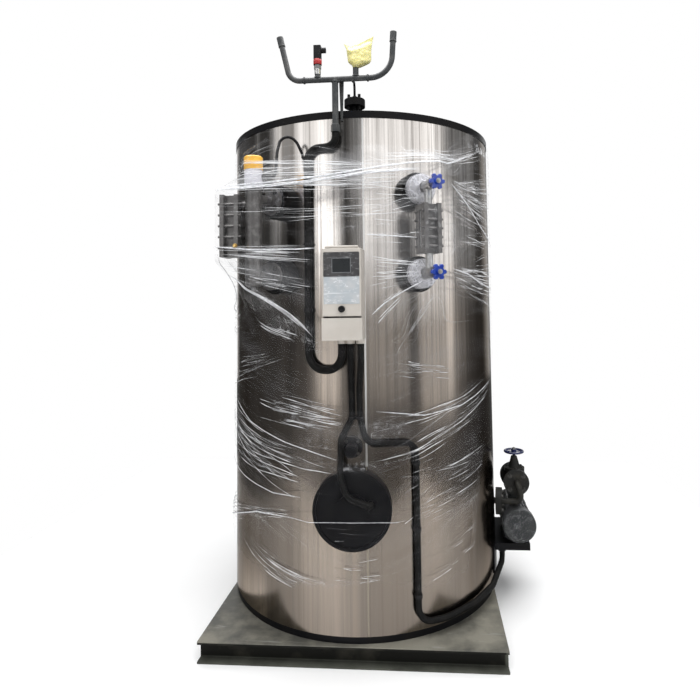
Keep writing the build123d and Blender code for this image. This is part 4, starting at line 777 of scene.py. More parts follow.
def hose_tree():
    """Corrugated hose along a path of edges: the path's radius swells and shrinks with its length."""
    tree, keys, start, real = group_tree("corrugated_hose", (
        ("Radius", "NodeSocketFloat"),
        ("Depth", "NodeSocketFloat"),
        ("Pitch", "NodeSocketFloat"),
        ("Material", "NodeSocketMaterial"),
    ))
    new = tree.nodes.new
    link = tree.links.new
    path = new("GeometryNodeMeshToCurve")
    link(start.outputs["Geometry"], path.inputs["Mesh"])
    quarter = new("ShaderNodeMath")
    quarter.operation = "MULTIPLY"
    quarter.inputs[1].default_value = 0.25
    link(start.outputs["Pitch"], quarter.inputs[0])
    spaced = new("GeometryNodeResampleCurve")
    spaced.mode = "LENGTH"
    link(path.outputs["Curve"], spaced.inputs["Curve"])
    link(quarter.outputs[0], spaced.inputs["Length"])
    spline = new("GeometryNodeSplineParameter")
    turns = new("ShaderNodeMath")
    turns.operation = "DIVIDE"
    link(spline.outputs["Length"], turns.inputs[0])
    link(start.outputs["Pitch"], turns.inputs[1])
    full = new("ShaderNodeMath")
    full.operation = "MULTIPLY"
    full.inputs[1].default_value = 2 * math.pi
    link(turns.outputs[0], full.inputs[0])
    wave = new("ShaderNodeMath")
    wave.operation = "COSINE"
    link(full.outputs[0], wave.inputs[0])
    half = new("ShaderNodeMapRange")
    half.inputs["From Min"].default_value = -1.0
    link(wave.outputs[0], half.inputs["Value"])
    groove = new("ShaderNodeMath")
    groove.operation = "SUBTRACT"
    link(start.outputs["Radius"], groove.inputs[0])
    link(start.outputs["Depth"], groove.inputs[1])
    link(groove.outputs[0], half.inputs["To Min"])
    link(start.outputs["Radius"], half.inputs["To Max"])
    ring = new("GeometryNodeCurvePrimitiveCircle")
    ring.inputs["Resolution"].default_value = 14
    ring.inputs["Radius"].default_value = 1.0
    skin = new("GeometryNodeCurveToMesh")
    skin.inputs["Fill Caps"].default_value = True
    link(spaced.outputs["Curve"], skin.inputs["Curve"])
    link(half.outputs["Result"], skin.inputs["Scale"])
    link(ring.outputs["Curve"], skin.inputs["Profile Curve"])
    link(skin.outputs["Mesh"], real.inputs["Geometry"])
    return tree, keys


def rounded_path(points, radii, step=0.006):
    """Points along straight runs joined by arcs of given radii."""
    out = [Vector(points[0])]
    for index, radius in enumerate(radii, start=1):
        here = Vector(points[index])
        before = (Vector(points[index - 1]) - here).normalized()
        after = (Vector(points[index + 1]) - here).normalized()
        opening = before.angle(after)
        reach = radius / math.tan(opening / 2)
        centre = here + (before + after).normalized() * (radius / math.sin(opening / 2))
        first = here + before * reach - centre
        last = here + after * reach - centre
        turn = math.pi - opening
        count = max(2, int(radius * turn / step))
        for number in range(count + 1):
            share = number / count
            out.append(centre + first.slerp(last, share).normalized() * radius)
    out.append(Vector(points[-1]))
    return out


def edge_path(points):
    """Mesh of edges through points."""
    mesh = bpy.data.meshes.new("path")
    pairs = [(index, index + 1) for index in range(len(points) - 1)]
    mesh.from_pydata([tuple(point) for point in points], pairs, [])
    return mesh


def metres(*numbers):
    """Point in metres, from millimetres."""
    return Vector(numbers) / 1000


class BOILER_OT_conduits(bpy.types.Operator):
    """Make the three corrugated conduits of the control box"""

    bl_idname = "boiler.conduits"
    bl_label = "Conduits"

    def execute(self, context):
        tree, keys = hose_tree()
        wall = 613.5
        routes = {
            "header_conduit": (15.0, (40, 48, 66, 66), (
                metres(-31, -629.8, 1983), metres(-31, -629.8, 1930), metres(-148, -598.0, 1930),
                metres(-148, -598.0, 1084), metres(-12, -655, 1084), metres(-12, -655, 1184),
            )),
            "cover_conduit": (12.5, (90, 90, 60, 60, 60, 60, 14), (
                metres(20, -655, 1184), metres(20, -655, 1120), metres(16, -wall, 1000),
                metres(17, -wall, 905), metres(-21, -wall - 26, 836), metres(-24, -650.3, 700),
                metres(0, -650.3, 622), metres(88.0, -650.3, 594), metres(87.4, -633.1, 594),
            )),
            "pump_conduit": (12.5, (90, 90, 90, 50, 100, 44, 60, 200, 200, 70, 26), (
                metres(58, -655, 1184), metres(58, -655, 1120), metres(46, -wall, 1000),
                metres(47, -wall, 905), drum_point(6.6, wall / 1000, 0.806),
                drum_point(15, (wall + 6) / 1000, 0.808), drum_point(24.3, wall / 1000, 0.802),
                drum_point(24.3, wall / 1000, 0.138), drum_point(36, (wall + 8) / 1000, 0.135),
                drum_point(50, (wall + 8) / 1000, 0.138), drum_point(64, (wall + 8) / 1000, 0.142),
                metres(622, -100, 168), metres(622, -100, 208),
            )),
        }
        for node, (radius, bends, points) in routes.items():
            path = edge_path(rounded_path(points, [bend / 1000 for bend in bends]))
            mesh = grown(
                path, tree, keys,
                Radius=radius / 1000, Depth=sizes().hose_depth, Pitch=sizes().hose_pitch,
                Material=FINISHES["hose"],
            )
            made = piece(f"{node}_hose", mesh)
            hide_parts(node)
        return {"FINISHED"}


# Proportions of a bolt whose head has a corner radius of 1
HEX_SHAPE = {"Head_height": 0.68, "Washer_height": 0.16, "Shank_height": 1.0}
BOLT_STEPS = (
    # input of its height, sides, radius
    ("Shank height", 12, 0.46),
    ("Head height", 6, 1.0),
    ("Washer height", 20, 1.28),
)


def bolt_tree():
    """Hexagon heads on washers, one at each point that holds an axis and a size."""
    tree, keys, start, real = group_tree("hexagon_bolts", (
        ("Head height", "NodeSocketFloat"),
        ("Washer height", "NodeSocketFloat"),
        ("Shank height", "NodeSocketFloat"),
        ("Material", "NodeSocketMaterial"),
    ))
    new = tree.nodes.new
    link = tree.links.new
    joined = new("GeometryNodeJoinGeometry")
    for label, sides, radius in BOLT_STEPS:
        step = new("GeometryNodeMeshCylinder")
        step.inputs["Vertices"].default_value = sides
        step.inputs["Radius"].default_value = radius
        link(start.outputs[label], step.inputs["Depth"])
        half = new("ShaderNodeMath")
        half.operation = "MULTIPLY"
        half.inputs[1].default_value = 0.5
        link(start.outputs[label], half.inputs[0])
        rise = new("ShaderNodeCombineXYZ")
        link(half.outputs[0], rise.inputs["Z"])
        stand = new("GeometryNodeTransform")
        link(step.outputs["Mesh"], stand.inputs["Geometry"])
        link(rise.outputs["Vector"], stand.inputs["Translation"])
        link(stand.outputs["Geometry"], joined.inputs["Geometry"])
    axis = new("GeometryNodeInputNamedAttribute")
    axis.data_type = "FLOAT_VECTOR"
    axis.inputs["Name"].default_value = "axis"
    turn = new("FunctionNodeAlignRotationToVector")
    turn.axis = "Z"
    link(axis.outputs["Attribute"], turn.inputs["Vector"])
    size = new("GeometryNodeInputNamedAttribute")
    size.data_type = "FLOAT"
    size.inputs["Name"].default_value = "size"
    bolts = new("GeometryNodeInstanceOnPoints")
    link(start.outputs["Geometry"], bolts.inputs["Points"])
    link(joined.outputs["Geometry"], bolts.inputs["Instance"])
    link(turn.outputs["Rotation"], bolts.inputs["Rotation"])
    link(size.outputs["Attribute"], bolts.inputs["Scale"])
    link(bolts.outputs["Instances"], real.inputs["Geometry"])
    return tree, keys


def bolt_points(points):
    """Mesh of loose points, each with the axis and the size of its bolt."""
    mesh = bpy.data.meshes.new("bolt_points")
    mesh.from_pydata([tuple(point) for point, axis, size in points], [], [])
    axes = [part for point, axis, size in points for part in Vector(axis).normalized()]
    radii = [size for point, axis, size in points]
    mesh.attributes.new("axis", "FLOAT_VECTOR", "POINT").data.foreach_set("vector", axes)
    mesh.attributes.new("size", "FLOAT", "POINT").data.foreach_set("value", radii)
    return mesh


def ring_of(centre, axis, circle, count, size, turn=45.0):
    """Bolts round a flange."""
    frame_of = place(centre, axis)
    points = []
    for number in range(count):
        angle = math.radians(turn + 360 * number / count)
        spot = frame_of @ Vector((circle * math.cos(angle), circle * math.sin(angle), 0))
        points.append((spot, axis, size))
    return points


class BOILER_OT_bolts(bpy.types.Operator):
    """Put the bolts and nuts on the flanges, the pump and the handwheels"""

    bl_idname = "boiler.bolts"
    bl_label = "Bolts and nuts"

    def execute(self, context):
        tree, keys = bolt_tree()
        points = self.level_flanges() + self.sight_port() + self.feed_group()
        mesh = grown(bolt_points(points), tree, keys, Material=FINISHES["zinc_dark"], **HEX_SHAPE)
        piece("flange_bolts", mesh, smooth=False)
        gauge_axis = outward(LEVEL_ANGLE)
        knob_end, knob_nut = 0.832, 0.0070
        wheel_top, wheel_nut = 0.641, 0.0082
        wheel_spot = Vector((self.feed_middle(), FEED_VALVE_Y, wheel_top))
        for body, spot, axis, size in (
            ("upper_gauge_handwheel", drum_point(LEVEL_ANGLE, knob_end, GAUGE_HIGH), gauge_axis, knob_nut),
            ("lower_gauge_handwheel", drum_point(LEVEL_ANGLE, knob_end, LEVEL_LOW), gauge_axis, knob_nut),
            ("feed_valve_handwheel", wheel_spot, Vector((0, 0, 1)), wheel_nut),
        ):
            source = bolt_points([(spot, axis, size)])
            nut = grown(source, tree, keys, Material=FINISHES["zinc"], **HEX_SHAPE)
            piece(f"{body}_nut", nut, body=body, smooth=False)
        return {"FINISHED"}

    def level_flanges(self):
        """Bolts in front of and behind the flanges of the level nozzles."""
        face, back, circle = 0.690, 0.662, 0.041
        size = sizes().bolt_radius * 0.78
        points = []
        gauge_ends, column_ends = (LEVEL_LOW, GAUGE_HIGH), (LEVEL_LOW, COLUMN_HIGH)
        for angle, heights in ((LEVEL_ANGLE, gauge_ends), (-LEVEL_ANGLE, column_ends)):
            for height in heights:
                points += ring_of(drum_point(angle, face, height), outward(angle), circle, 4, size)
                points += ring_of(drum_point(angle, back, height), -outward(angle), circle, 4, size)
        return points

    def sight_port(self):
        """Small bolts of the sight port."""
        angle, face, height, circle, size = 1.6, 0.618, 0.797, 0.0305, 0.0052
        return ring_of(drum_point(angle, face, height), outward(angle), circle, 4, size)

    def feed_middle(self):
        """Where the feed valve stands across the boiler."""
        low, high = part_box("feed_valve")
        return (low[0] + high[0]) / 2

    def feed_group(self):
        """Bolts of the feed nozzle, of the valve's flange and bonnet, and of the pump's feet."""
        circle, size = 0.043, sizes().bolt_radius * 0.9
        nozzle = drum_point(FEED_ANGLE, 0.6355, 0.431)
        points = ring_of(nozzle, outward(FEED_ANGLE), circle, 4, size)
        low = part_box("feed_valve")[0]
        middle = self.feed_middle()
        bore_rise = 0.0575
        points += ring_of(Vector((middle, low[1], low[2] + bore_rise)), Vector((0, -1, 0)), circle, 4, size)
        bonnet_top, bonnet_circle, bonnet_size = 0.560, 0.037, 0.0062
        bonnet = Vector((middle, FEED_VALVE_Y, bonnet_top))
        points += ring_of(bonnet, Vector((0, 0, 1)), bonnet_circle, 6, bonnet_size, 30)
        pump_y, foot_top, foot_size = -0.013, 0.266, 0.0072
        for side in (-1, 1):
            for end in (-1, 1):
                foot = Vector((middle + side * 0.052, pump_y + end * 0.043, foot_top))
                points.append((foot, (0, 0, 1), foot_size))
        return points


def bead(form, centre, axis, radius, thick, seed):
    """Weld bead round a pipe, with the ripples of its passes."""
    frame_of = place(centre, axis)
    steps, corners = 56, 8
    rings = []
    for step in range(steps):
        turn = 2 * math.pi * step / steps
        ripple = 1 + 0.22 * math.sin(step * 2.4 + seed) + 0.25 * noise.noise(Vector((step * 0.5, seed, 0)))
        ring = []
        for corner in range(corners):
            side = 2 * math.pi * corner / corners
            out = radius + thick * ripple * (0.35 + 0.65 * math.cos(side))
            up = thick * ripple * 1.25 * math.sin(side)
            spot = Vector((out * math.cos(turn), out * math.sin(turn), up))
            ring.append(form.verts.new(frame_of @ spot))
        rings.append(ring)
    close_ring(form, rings)


def close_ring(form, rings):
    """Faces between neighbouring sections of a ring."""
    for first, second in zip(rings, rings[1:] + rings[:1]):
        for corner in range(len(first)):
            after = (corner + 1) % len(first)
            form.faces.new((first[corner], first[after], second[after], second[corner]))


class BOILER_OT_header(bpy.types.Operator):
    """Weld the header and dress its pressure transmitter"""

    bl_idname = "boiler.header"
    bl_label = "Header welds and transmitter"

    def execute(self, context):
        form = bmesh.new()
        thick = sizes().bead_radius
        pipe_weld, stub_weld, standpipe_weld = 0.0107, 0.0112, 0.0122
        top_side, low_side = HEADER_HEIGHT + 0.0095, HEADER_HEIGHT - 0.0095
        rim_height, arm_height = 2.010, 2.326
        beads = (
            ((-0.150, HEADER_Y, HEADER_HEIGHT), (1, 0, 0), pipe_weld),
            ((0.095, HEADER_Y, HEADER_HEIGHT), (1, 0, 0), pipe_weld),
            ((TRANSMITTER_X, HEADER_Y, top_side), (0, 0, 1), stub_weld),
            ((SWITCH_X, HEADER_Y, top_side), (0, 0, 1), stub_weld),
            ((STANDPIPE_X, HEADER_Y, low_side), (0, 0, 1), standpipe_weld),
            ((STANDPIPE_X, HEADER_Y, rim_height), (0, 0, 1), standpipe_weld),
        )
        for number, (centre, axis, radius) in enumerate(beads):
            bead(form, Vector(centre), Vector(axis), radius, thick, number * 1.7)
        for arm_x, lean in ((-0.2368, -0.232), (0.193, 0.065)):
            centre = Vector((arm_x, HEADER_Y, arm_height))
            bead(form, centre, Vector((lean, 0, 1)), stub_weld, thick * 0.8, arm_x * 40)
        welds = piece("header_welds", mesh_of("header_welds", form), material=FINISHES["header"])
        axis_at = Matrix.Translation((TRANSMITTER_X, HEADER_Y, 0))
        nut_profile = (
            (0, 2.2285), (0.0128, 2.2285), (0.0142, 2.2300), (0.0142, 2.2445), (0.0128, 2.2460), (0, 2.2460),
        )
        neck_profile = ((0, 2.2090), (0.0116, 2.2090), (0.0120, 2.2100), (0.0120, 2.2290), (0, 2.2290))
        ring_profile = (
            (0, 2.2464), (0.0154, 2.2464), (0.0161, 2.2472), (0.0161, 2.2668), (0.0154, 2.2676), (0, 2.2676),
        )
        hexagon = turned(nut_profile, 6, axis_at)
        turned(neck_profile, 32, axis_at, hexagon)
        nut = piece("transmitter_hexagon", mesh_of("transmitter_hexagon", hexagon),
                    material=FINISHES["bright"], smooth=False)
        ring = turned(ring_profile, 40, axis_at)
        collar = piece("transmitter_ring", mesh_of("transmitter_ring", ring), material=FINISHES["red"])
        return {"FINISHED"}


# Outline of the bag: its sides from the neck up, and its top from left to right, as (share, distance)
BAG_LEFT = ((0.0, -0.020), (0.12, -0.030), (0.45, -0.033), (0.75, -0.036), (1.0, -0.046))
BAG_RIGHT = ((0.0, 0.054), (0.12, 0.061), (0.45, 0.061), (0.75, 0.065), (1.0, 0.071))
BAG_TOP = ((0.0, 0.086), (0.22, 0.073), (0.5, 0.084), (0.78, 0.098), (1.0, 0.111))
BAG_NECK = 0.014
BAG_STEPS = 40
BAG_ROWS = 44


def bag_key(side, row, step):
    """Key of a vertex of the bag; both sheets share the rim, whose side is 0."""
    rim = row == BAG_ROWS or step in (0, BAG_STEPS)
    return (0 if rim else side, row, step)


def bag_point(side, row, step):
    """Place of a vertex of the bag, from the foot of the switch."""
    rise = row / BAG_ROWS
    share = step / BAG_STEPS
    from_middle = 2 * share - 1
    x = along(BAG_LEFT, rise) * (1 - share) + along(BAG_RIGHT, rise) * share
    z = BAG_NECK + rise * (along(BAG_TOP, share) - BAG_NECK * 0.2)
    full = (1 - abs(from_middle) ** 5) * fade(1 - rise, 0.0, 0.42)
    open_up = fade(rise, -0.01, 0.045)
    x = x * open_up + 0.008 * from_middle * (1 - open_up)
    z -= BAG_NECK * (1 - open_up) * (1 - 0.2 * abs(from_middle))
    if side == 0:
        return Vector((x, 0.0035 * noise.noise(Vector((x, z, 4)) * 42), z))
    spot = Vector((x, z, side * 1.7))
    crease = noise.noise(spot * 34) + 0.6 * abs(noise.noise(spot * 75)) - 0.2
    depth = 0.021 * full * (0.35 + 0.65 * open_up) + 0.007 * (1 - open_up)
    depth += 0.0042 * crease * open_up
    return Vector((x, side * max(depth, 0.0008), z))


class BOILER_OT_switch_bag(bpy.types.Operator):
    """Make the crumpled bag that is tied round the pressure switch"""

    bl_idname = "boiler.switch_bag"
    bl_label = "Switch bag"

    def execute(self, context):
        low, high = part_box("switch_bag")
        foot = Vector((SWITCH_X, (low[1] + high[1]) / 2, low[2]))
        form = bmesh.new()
        sheets = {}
        for side in (-1, 1):
            for row in range(BAG_ROWS + 1):
                for step in range(BAG_STEPS + 1):
                    key = bag_key(side, row, step)
                    if key not in sheets:
                        sheets[key] = form.verts.new(foot + bag_point(*key))
        for side in (-1, 1):
            for row in range(BAG_ROWS):
                for step in range(BAG_STEPS):
                    square = ((row, step), (row, step + 1), (row + 1, step + 1), (row + 1, step))
                    corners = dict.fromkeys(sheets[bag_key(side, *spot)] for spot in square)
                    if len(corners) > 2:
                        form.faces.new(list(corners))
        holes = [edge for edge in form.edges if len(edge.link_faces) == 1]
        bmesh.ops.holes_fill(form, edges=holes, sides=0)
        bag = piece("tied_bag", mesh_of("tied_bag", form), material=FINISHES["bag"])
        bag.modifiers.new("smooth", "SUBSURF").levels = 1
        bag.modifiers["smooth"].render_levels = 1
        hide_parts("switch_bag")
        tie = bmesh.new()
        for number in range(3):
            centre = foot + Vector((0, 0, 0.004 + 0.0034 * number))
            bead(tie, centre, Vector((0.05 * number, 0, 1)), 0.0098, 0.0017, number)
        gathered = ((0, 0.0), (0.0095, 0.0), (0.0092, 0.006), (0.0096, 0.014), (0, 0.015))
        turned(gathered, 24, Matrix.Translation(foot), tie)
        knot = piece("bag_tie", mesh_of("bag_tie", tie), material=FINISHES["bag"])
        return {"FINISHED"}


class BOILER_OT_gauges(bpy.types.Operator):
    """Set the glass ridges of the two level gauges and the brass plug of the left one"""

    bl_idname = "boiler.gauges"
    bl_label = "Gauge details"

    def execute(self, context):
        ridges, pitch, aside, bevel = 5, 0.0031, 0.0305, 0.0005
        gauge_distance = 0.745
        column_x, column_y = -0.4075, -0.7024
        gauge_height = self.middle("level_gauge")
        column_height = self.middle("column_level_gauge")
        steps = [pitch * (ridge - ridges // 2) for ridge in range(ridges)]
        glass = bmesh.new()
        for side in (-1, 1):
            for step in steps:
                spot = drum_point(LEVEL_ANGLE, gauge_distance + step, gauge_height)
                at = place(spot, outward(LEVEL_ANGLE)) @ Matrix.Translation((side * aside, 0, 0))
                block(glass, (0.0036, 0.134, 0.0026), at, bevel)
        for side in (-1, 1):
            for step in steps:
                spot = (column_x + side * aside, column_y + step, column_height)
                block(glass, (0.0036, 0.0026, 0.182), Matrix.Translation(spot), bevel)
        mesh = mesh_of("gauge_glasses", glass)
        piece("gauge_glasses", mesh, material=FINISHES["glass"], smooth=False)
        plug = Vector((-0.3815, -0.7424, 1.545))
        profile = (
            (0, 0), (0.0085, 0), (0.0085, 0.007), (0.0062, 0.0075), (0.0062, 0.013), (0.0052, 0.0145),
            (0, 0.0145),
        )
        mesh = mesh_of("gauge_plug", turned(profile, 6, place(plug, (0, -1, 0))))
        piece("gauge_plug", mesh, material=FINISHES["brass"], smooth=False)
        return {"FINISHED"}

    def middle(self, name):
        """Middle height of a piece of the frame."""
        low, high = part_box(name)
        return (low[2] + high[2]) / 2


class BOILER_OT_control_box(bpy.types.Operator):
    """Fit the display frame, its window, the label sheet and the lock to the door of the control box"""

    bl_idname = "boiler.control_box"
    bl_label = "Control box details"

    def execute(self, context):
        panel_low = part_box("display_panel")[0]
        self.display(panel_low[1])
        door_face = -0.7265
        lock_height = 1.312
        label_width, label_foot = 0.129, 1.330
        form = bmesh.new()
        tall = panel_low[2] - label_foot
        spot = Vector((0, door_face - 0.0004, label_foot + tall / 2))
        block(form, (label_width, 0.0008, tall), Matrix.Translation(spot), 0.0003)
        self.on_door("label_sheet", form, "label")
        profile = (
            (0, 0.0004), (0.0122, 0.0004), (0.0124, 0.0030), (0.0118, 0.0096), (0.0100, 0.0106),
            (0.0062, 0.0106), (0.0058, 0.0098), (0, 0.0098),
        )
        form = turned(profile, 40, place(Vector((0, door_face, lock_height)), (0, -1, 0)))
        keyhole = Matrix.Translation((0, door_face - 0.0102, lock_height))
        block(form, (0.0018, 0.0012, 0.0064), keyhole, 0.0002)
        self.on_door("door_lock", form, "rubber", smooth=True)
        return {"FINISHED"}

    def display(self, face):
        """Frame and window of the display, on the face of the panel."""
        wide, tall, line = 0.067, 0.052, 0.0022
        centre = Vector((0, face - 0.0003, 1.468))
        form = bmesh.new()
        for side in (-1, 1):
            upright = centre + Vector((side * wide / 2, 0, 0))
            block(form, (line, 0.0009, tall), Matrix.Translation(upright), 0.0003)
            level = centre + Vector((0, 0, side * tall / 2))
            block(form, (wide + line, 0.0009, line), Matrix.Translation(level), 0.0003)
        self.on_door("display_frame", form, "trim")
        form = bmesh.new()
        block(form, (wide - 0.004, 0.0006, tall - 0.004), Matrix.Translation(centre), 0.0002)
        self.on_door("display_window", form, "glass")

    def on_door(self, name, form, finish, smooth=False):
        """Piece that swings with the door."""
        mesh = mesh_of(name, form)
        return piece(name, mesh, body="control_box_door", material=FINISHES[finish], smooth=smooth)


# Ties of the conduits: place of the conduit, height, and radius inside the tie
TIES = (
    (0.017, -0.6135, 0.905, 0.0138),
    (0.047, -0.6135, 0.905, 0.0138),
    (-0.148, -0.598, 1.56, 0.0163),
)


class BOILER_OT_trim(bpy.types.Operator):
    """Put the seam strips on the jacket and the ties on the conduits"""

    bl_idname = "boiler.trim"
    bl_label = "Seams and ties"

    def execute(self, context):
        seam_foot, seam_top = 0.108, 2.044
        cover_foot, cover_top = 0.424, 0.722
        front_runs = ((seam_foot, cover_foot), (cover_top, seam_top))
        rear_runs = ((seam_foot, seam_top),)
        form = bmesh.new()
        for angle, runs in ((SEAM_ANGLE, front_runs), (SEAM_ANGLE + 180, rear_runs)):
            for low, high in runs:
                at = place(drum_point(angle, DRUM_RADIUS + 0.0004, (low + high) / 2), outward(angle))
                block(form, (0.0075, high - low, 0.0014), at, 0.0005)
        strips = piece("seam_strips", mesh_of("seam_strips", form), material=FINISHES["seam"], smooth=False)
        form = bmesh.new()
        for x, y, height, inside in TIES:
            self.tie(form, x, y, height, inside)
        mesh = mesh_of("conduit_ties", form)
        piece("conduit_ties", mesh, material=FINISHES["rubber"], smooth=False)
        return {"FINISHED"}

    def tie(self, form, x, y, height, inside):
        """Flat band round an upright conduit, with its buckle in front."""
        near, far, half = inside - 0.001, inside + 0.0012, 0.004
        profile = ((near, -half), (far, -half), (far, half), (near, half))
        steps = 40
        rings = []
        for step in range(steps):
            turn = 2 * math.pi * step / steps
            across, back = math.cos(turn), math.sin(turn)
            ring = [form.verts.new((x + r * across, y + r * back, height + rise)) for r, rise in profile]
            rings.append(ring)
        close_ring(form, rings)
        buckle = Matrix.Translation((x, y - inside - 0.002, height))
        block(form, (0.006, 0.006, 0.009), buckle, 0.0008)


# What holds the film off the jacket
FILM_PROPS = (
    # angle, reach, heights of full reach, heights where the film is back on the jacket
    (21.4, 0.799, 1.40, 1.80, 1.16, 1.99),
    (28.6, 0.799, 1.40, 1.80, 1.16, 1.99),
    (-22.4, 0.800, 1.40, 1.885, 1.14, 2.03),
    (-25.6, 0.818, 1.40, 1.885, 1.14, 2.03),
    (-31.28, 0.877, 1.49, 1.745, 1.25, 1.93),
    (-34.56, 0.803, 1.49, 1.745, 1.25, 1.93),
    (-6.6, 0.722, 1.20, 1.54, 1.12, 1.70),
    (6.6, 0.722, 1.20, 1.54, 1.12, 1.70),
    (-13.9, 0.636, 1.08, 1.94, 1.04, 1.97),
    (-3.0, 0.680, 1.07, 1.20, 1.02, 1.24),
    (5.4, 0.680, 1.12, 1.20, 0.98, 1.24),
    (-2.8, 0.652, 1.90, 2.10, 1.86, 2.20),
    (0.6, 0.652, 1.98, 2.10, 1.94, 2.20),
    (-1.4, 0.648, 0.80, 1.02, 0.74, 1.10),
    (5.6, 0.644, 0.80, 1.02, 0.74, 1.10),
    (1.6, 0.690, 0.77, 0.83, 0.70, 0.92),
    (-1.8, 0.672, 0.60, 0.76, 0.52, 0.82),
    (8.6, 0.672, 0.57, 0.64, 0.52, 0.72),
    (-12.6, 0.658, 0.44, 0.70, 0.40, 0.74),
    (1.4, 0.648, 0.44, 0.72, 0.40, 0.76),
    (15.4, 0.658, 0.44, 0.70, 0.40, 0.74),
    (24.3, 0.632, 0.10, 0.81, 0.05, 0.84),
    (-84.0, 0.633, 0.31, 0.40, 0.22, 0.49),
)
# Valves that the film hangs on, as (angle, height)
FILM_HOLDS = ((25.0, 1.758), (25.0, 1.438), (-31.0, 1.74), (-31.0, 1.50))
CRUMPLES = (
    # angle, height, half width in degrees, half height, strength
    (25.0, 1.60, 5.5, 0.10, 0.55),
    (31.0, 1.56, 3.0, 0.13, 0.8),
    (24.0, 1.46, 5.0, 0.035, 0.5),
    (66.0, 2.00, 14.0, 0.06, 1.0),
    (80.0, 1.93, 8.0, 0.10, 0.9),
    (-26.0, 1.345, 8.0, 0.05, 0.8),
    (-19.0, 1.245, 7.0, 0.05, 0.9),
    (-11.0, 1.20, 4.0, 0.07, 0.7),
    (8.6, 1.30, 2.2, 0.22, 0.3),
    (0.0, 1.60, 9.0, 0.035, 0.6),
    (14.0, 0.86, 9.0, 0.035, 1.0),
    (-15.0, 0.90, 12.0, 0.08, 0.55),
    (-10.0, 0.80, 8.0, 0.10, 0.55),
    (4.0, 0.735, 13.0, 0.02, 0.8),
    (-14.0, 0.27, 14.0, 0.05, 0.6),
    (-40.0, 0.50, 8.0, 0.06, 0.3),
    (-84.0, 0.35, 14.0, 0.08, 0.6),
    (-52.0, 1.98, 14.0, 0.05, 0.5),
    (27.0, 0.14, 6.0, 0.03, 0.5),
)
STREAKS = (
    # number, thickness, start (angle, height, spread), end (angle, height, spread), sag, length share
    (44, 0.0013, (-35, 1.800, 0.060), (21, 1.790, 0.062), 0.004, 0.9),
    (16, 0.0008, (-33, 1.660, 0.070), (21, 1.655, 0.075), 0.003, 0.6),
    (18, 0.0010, (-33, 1.532, 0.020), (-7, 1.520, 0.050), 0.002, 0.8),
    (15, 0.0010, (-31, 1.450, 0.030), (-7, 1.375, 0.060), 0.004, 0.5),
    (7, 0.0013, (-31, 1.450, 0.015), (-9, 1.215, 0.030), 0.000, 0.9),
    (6, 0.0011, (-36, 1.300, 0.030), (-14, 1.215, 0.030), 0.006, 0.7),
    (20, 0.0010, (7, 1.435, 0.060), (22, 1.440, 0.035), 0.002, 0.8),
    (16, 0.0009, (6, 1.700, 0.080), (21, 1.715, 0.055), 0.002, 0.7),
    (16, 0.0009, (6, 1.570, 0.070), (21, 1.575, 0.075), 0.002, 0.5),
    (26, 0.0010, (7, 1.860, 0.030), (66, 1.990, 0.050), 0.030, 0.8),
    (46, 0.0011, (29, 1.757, 0.030), (86, 1.800, 0.200), 0.006, 0.75),
    (42, 0.0011, (29, 1.437, 0.030), (86, 1.420, 0.170), 0.006, 0.75),
    (24, 0.0009, (29, 1.600, 0.110), (86, 1.610, 0.130), 0.004, 0.7),
    (9, 0.0011, (20, 1.400, 0.015), (8, 1.255, 0.060), 0.000, 0.6),
    (7, 0.0010, (27, 1.390, 0.010), (17, 1.130, 0.050), 0.004, 0.5),
    (16, 0.0009, (11, 1.120, 0.040), (42, 1.060, 0.040), 0.008, 0.5),
    (34, 0.0011, (-80, 0.840, 0.130), (-2, 0.715, 0.085), 0.018, 0.5),
    (22, 0.0010, (-80, 0.960, 0.090), (-16, 0.660, 0.070), 0.030, 0.6),
    (34, 0.0011, (-44, 0.960, 0.065), (0, 0.905, 0.055), 0.006, 0.45),
    (16, 0.0009, (-72, 1.020, 0.060), (-24, 1.120, 0.050), 0.004, 0.6),
    (30, 0.0010, (9, 0.800, 0.100), (72, 0.985, 0.090), 0.024, 0.55),
    (26, 0.0009, (19, 0.600, 0.120), (70, 0.690, 0.110), 0.016, 0.5),
    (20, 0.0010, (-56, 0.420, 0.040), (-4, 0.275, 0.040), 0.030, 0.55),
    (12, 0.0009, (-34, 0.300, 0.030), (8, 0.250, 0.020), 0.004, 0.35),
    (16, 0.0009, (24, 0.330, 0.060), (64, 0.410, 0.060), 0.010, 0.4),
    (22, 0.0012, (-112, 0.340, 0.060), (-42, 0.505, 0.035), 0.004, 0.8),
    (12, 0.0009, (-60, 0.470, 0.030), (-17, 0.545, 0.030), 0.004, 0.6),
    (4, 0.0007, (-13, 0.490, 0.050), (16, 0.490, 0.050), 0.002, 0.30),
    (16, 0.0009, (-6, 0.330, 0.050), (12, 0.330, 0.060), 0.000, 0.4),
    (9, 0.0010, (-20, 0.280, 0.012), (10, 0.262, 0.012), 0.002, 0.5),
    (14, 0.0008, (17, 0.620, 0.120), (33, 0.640, 0.120), 0.002, 0.6),
    (30, 0.0010, (-120, 1.640, 0.230), (-36, 1.630, 0.140), 0.010, 0.7),
    (22, 0.0009, (-120, 1.240, 0.130), (-36, 1.330, 0.090), 0.012, 0.6),
    (44, 0.0010, (84, 1.560, 0.400), (178, 1.560, 0.400), 0.012, 0.6),
    (44, 0.0010, (168, 1.540, 0.400), (250, 1.580, 0.380), 0.012, 0.6),
    (36, 0.0010, (120, 0.720, 0.380), (250, 0.760, 0.380), 0.030, 0.5),
)
# Heights at which the outline of the film is worked out, how finely it is known round the drum, its
# radius on the bare jacket, its highest edge, and how far it is raised over the pump
CHART_LOW, CHART_SPAN, CHART_ROWS = 0.1, 2.0, 200
STEPS_PER_DEGREE = 4
FILM_GROUND = 0.6028
FILM_TOP = 2.068
PUMP_CLEARANCE = 0.42

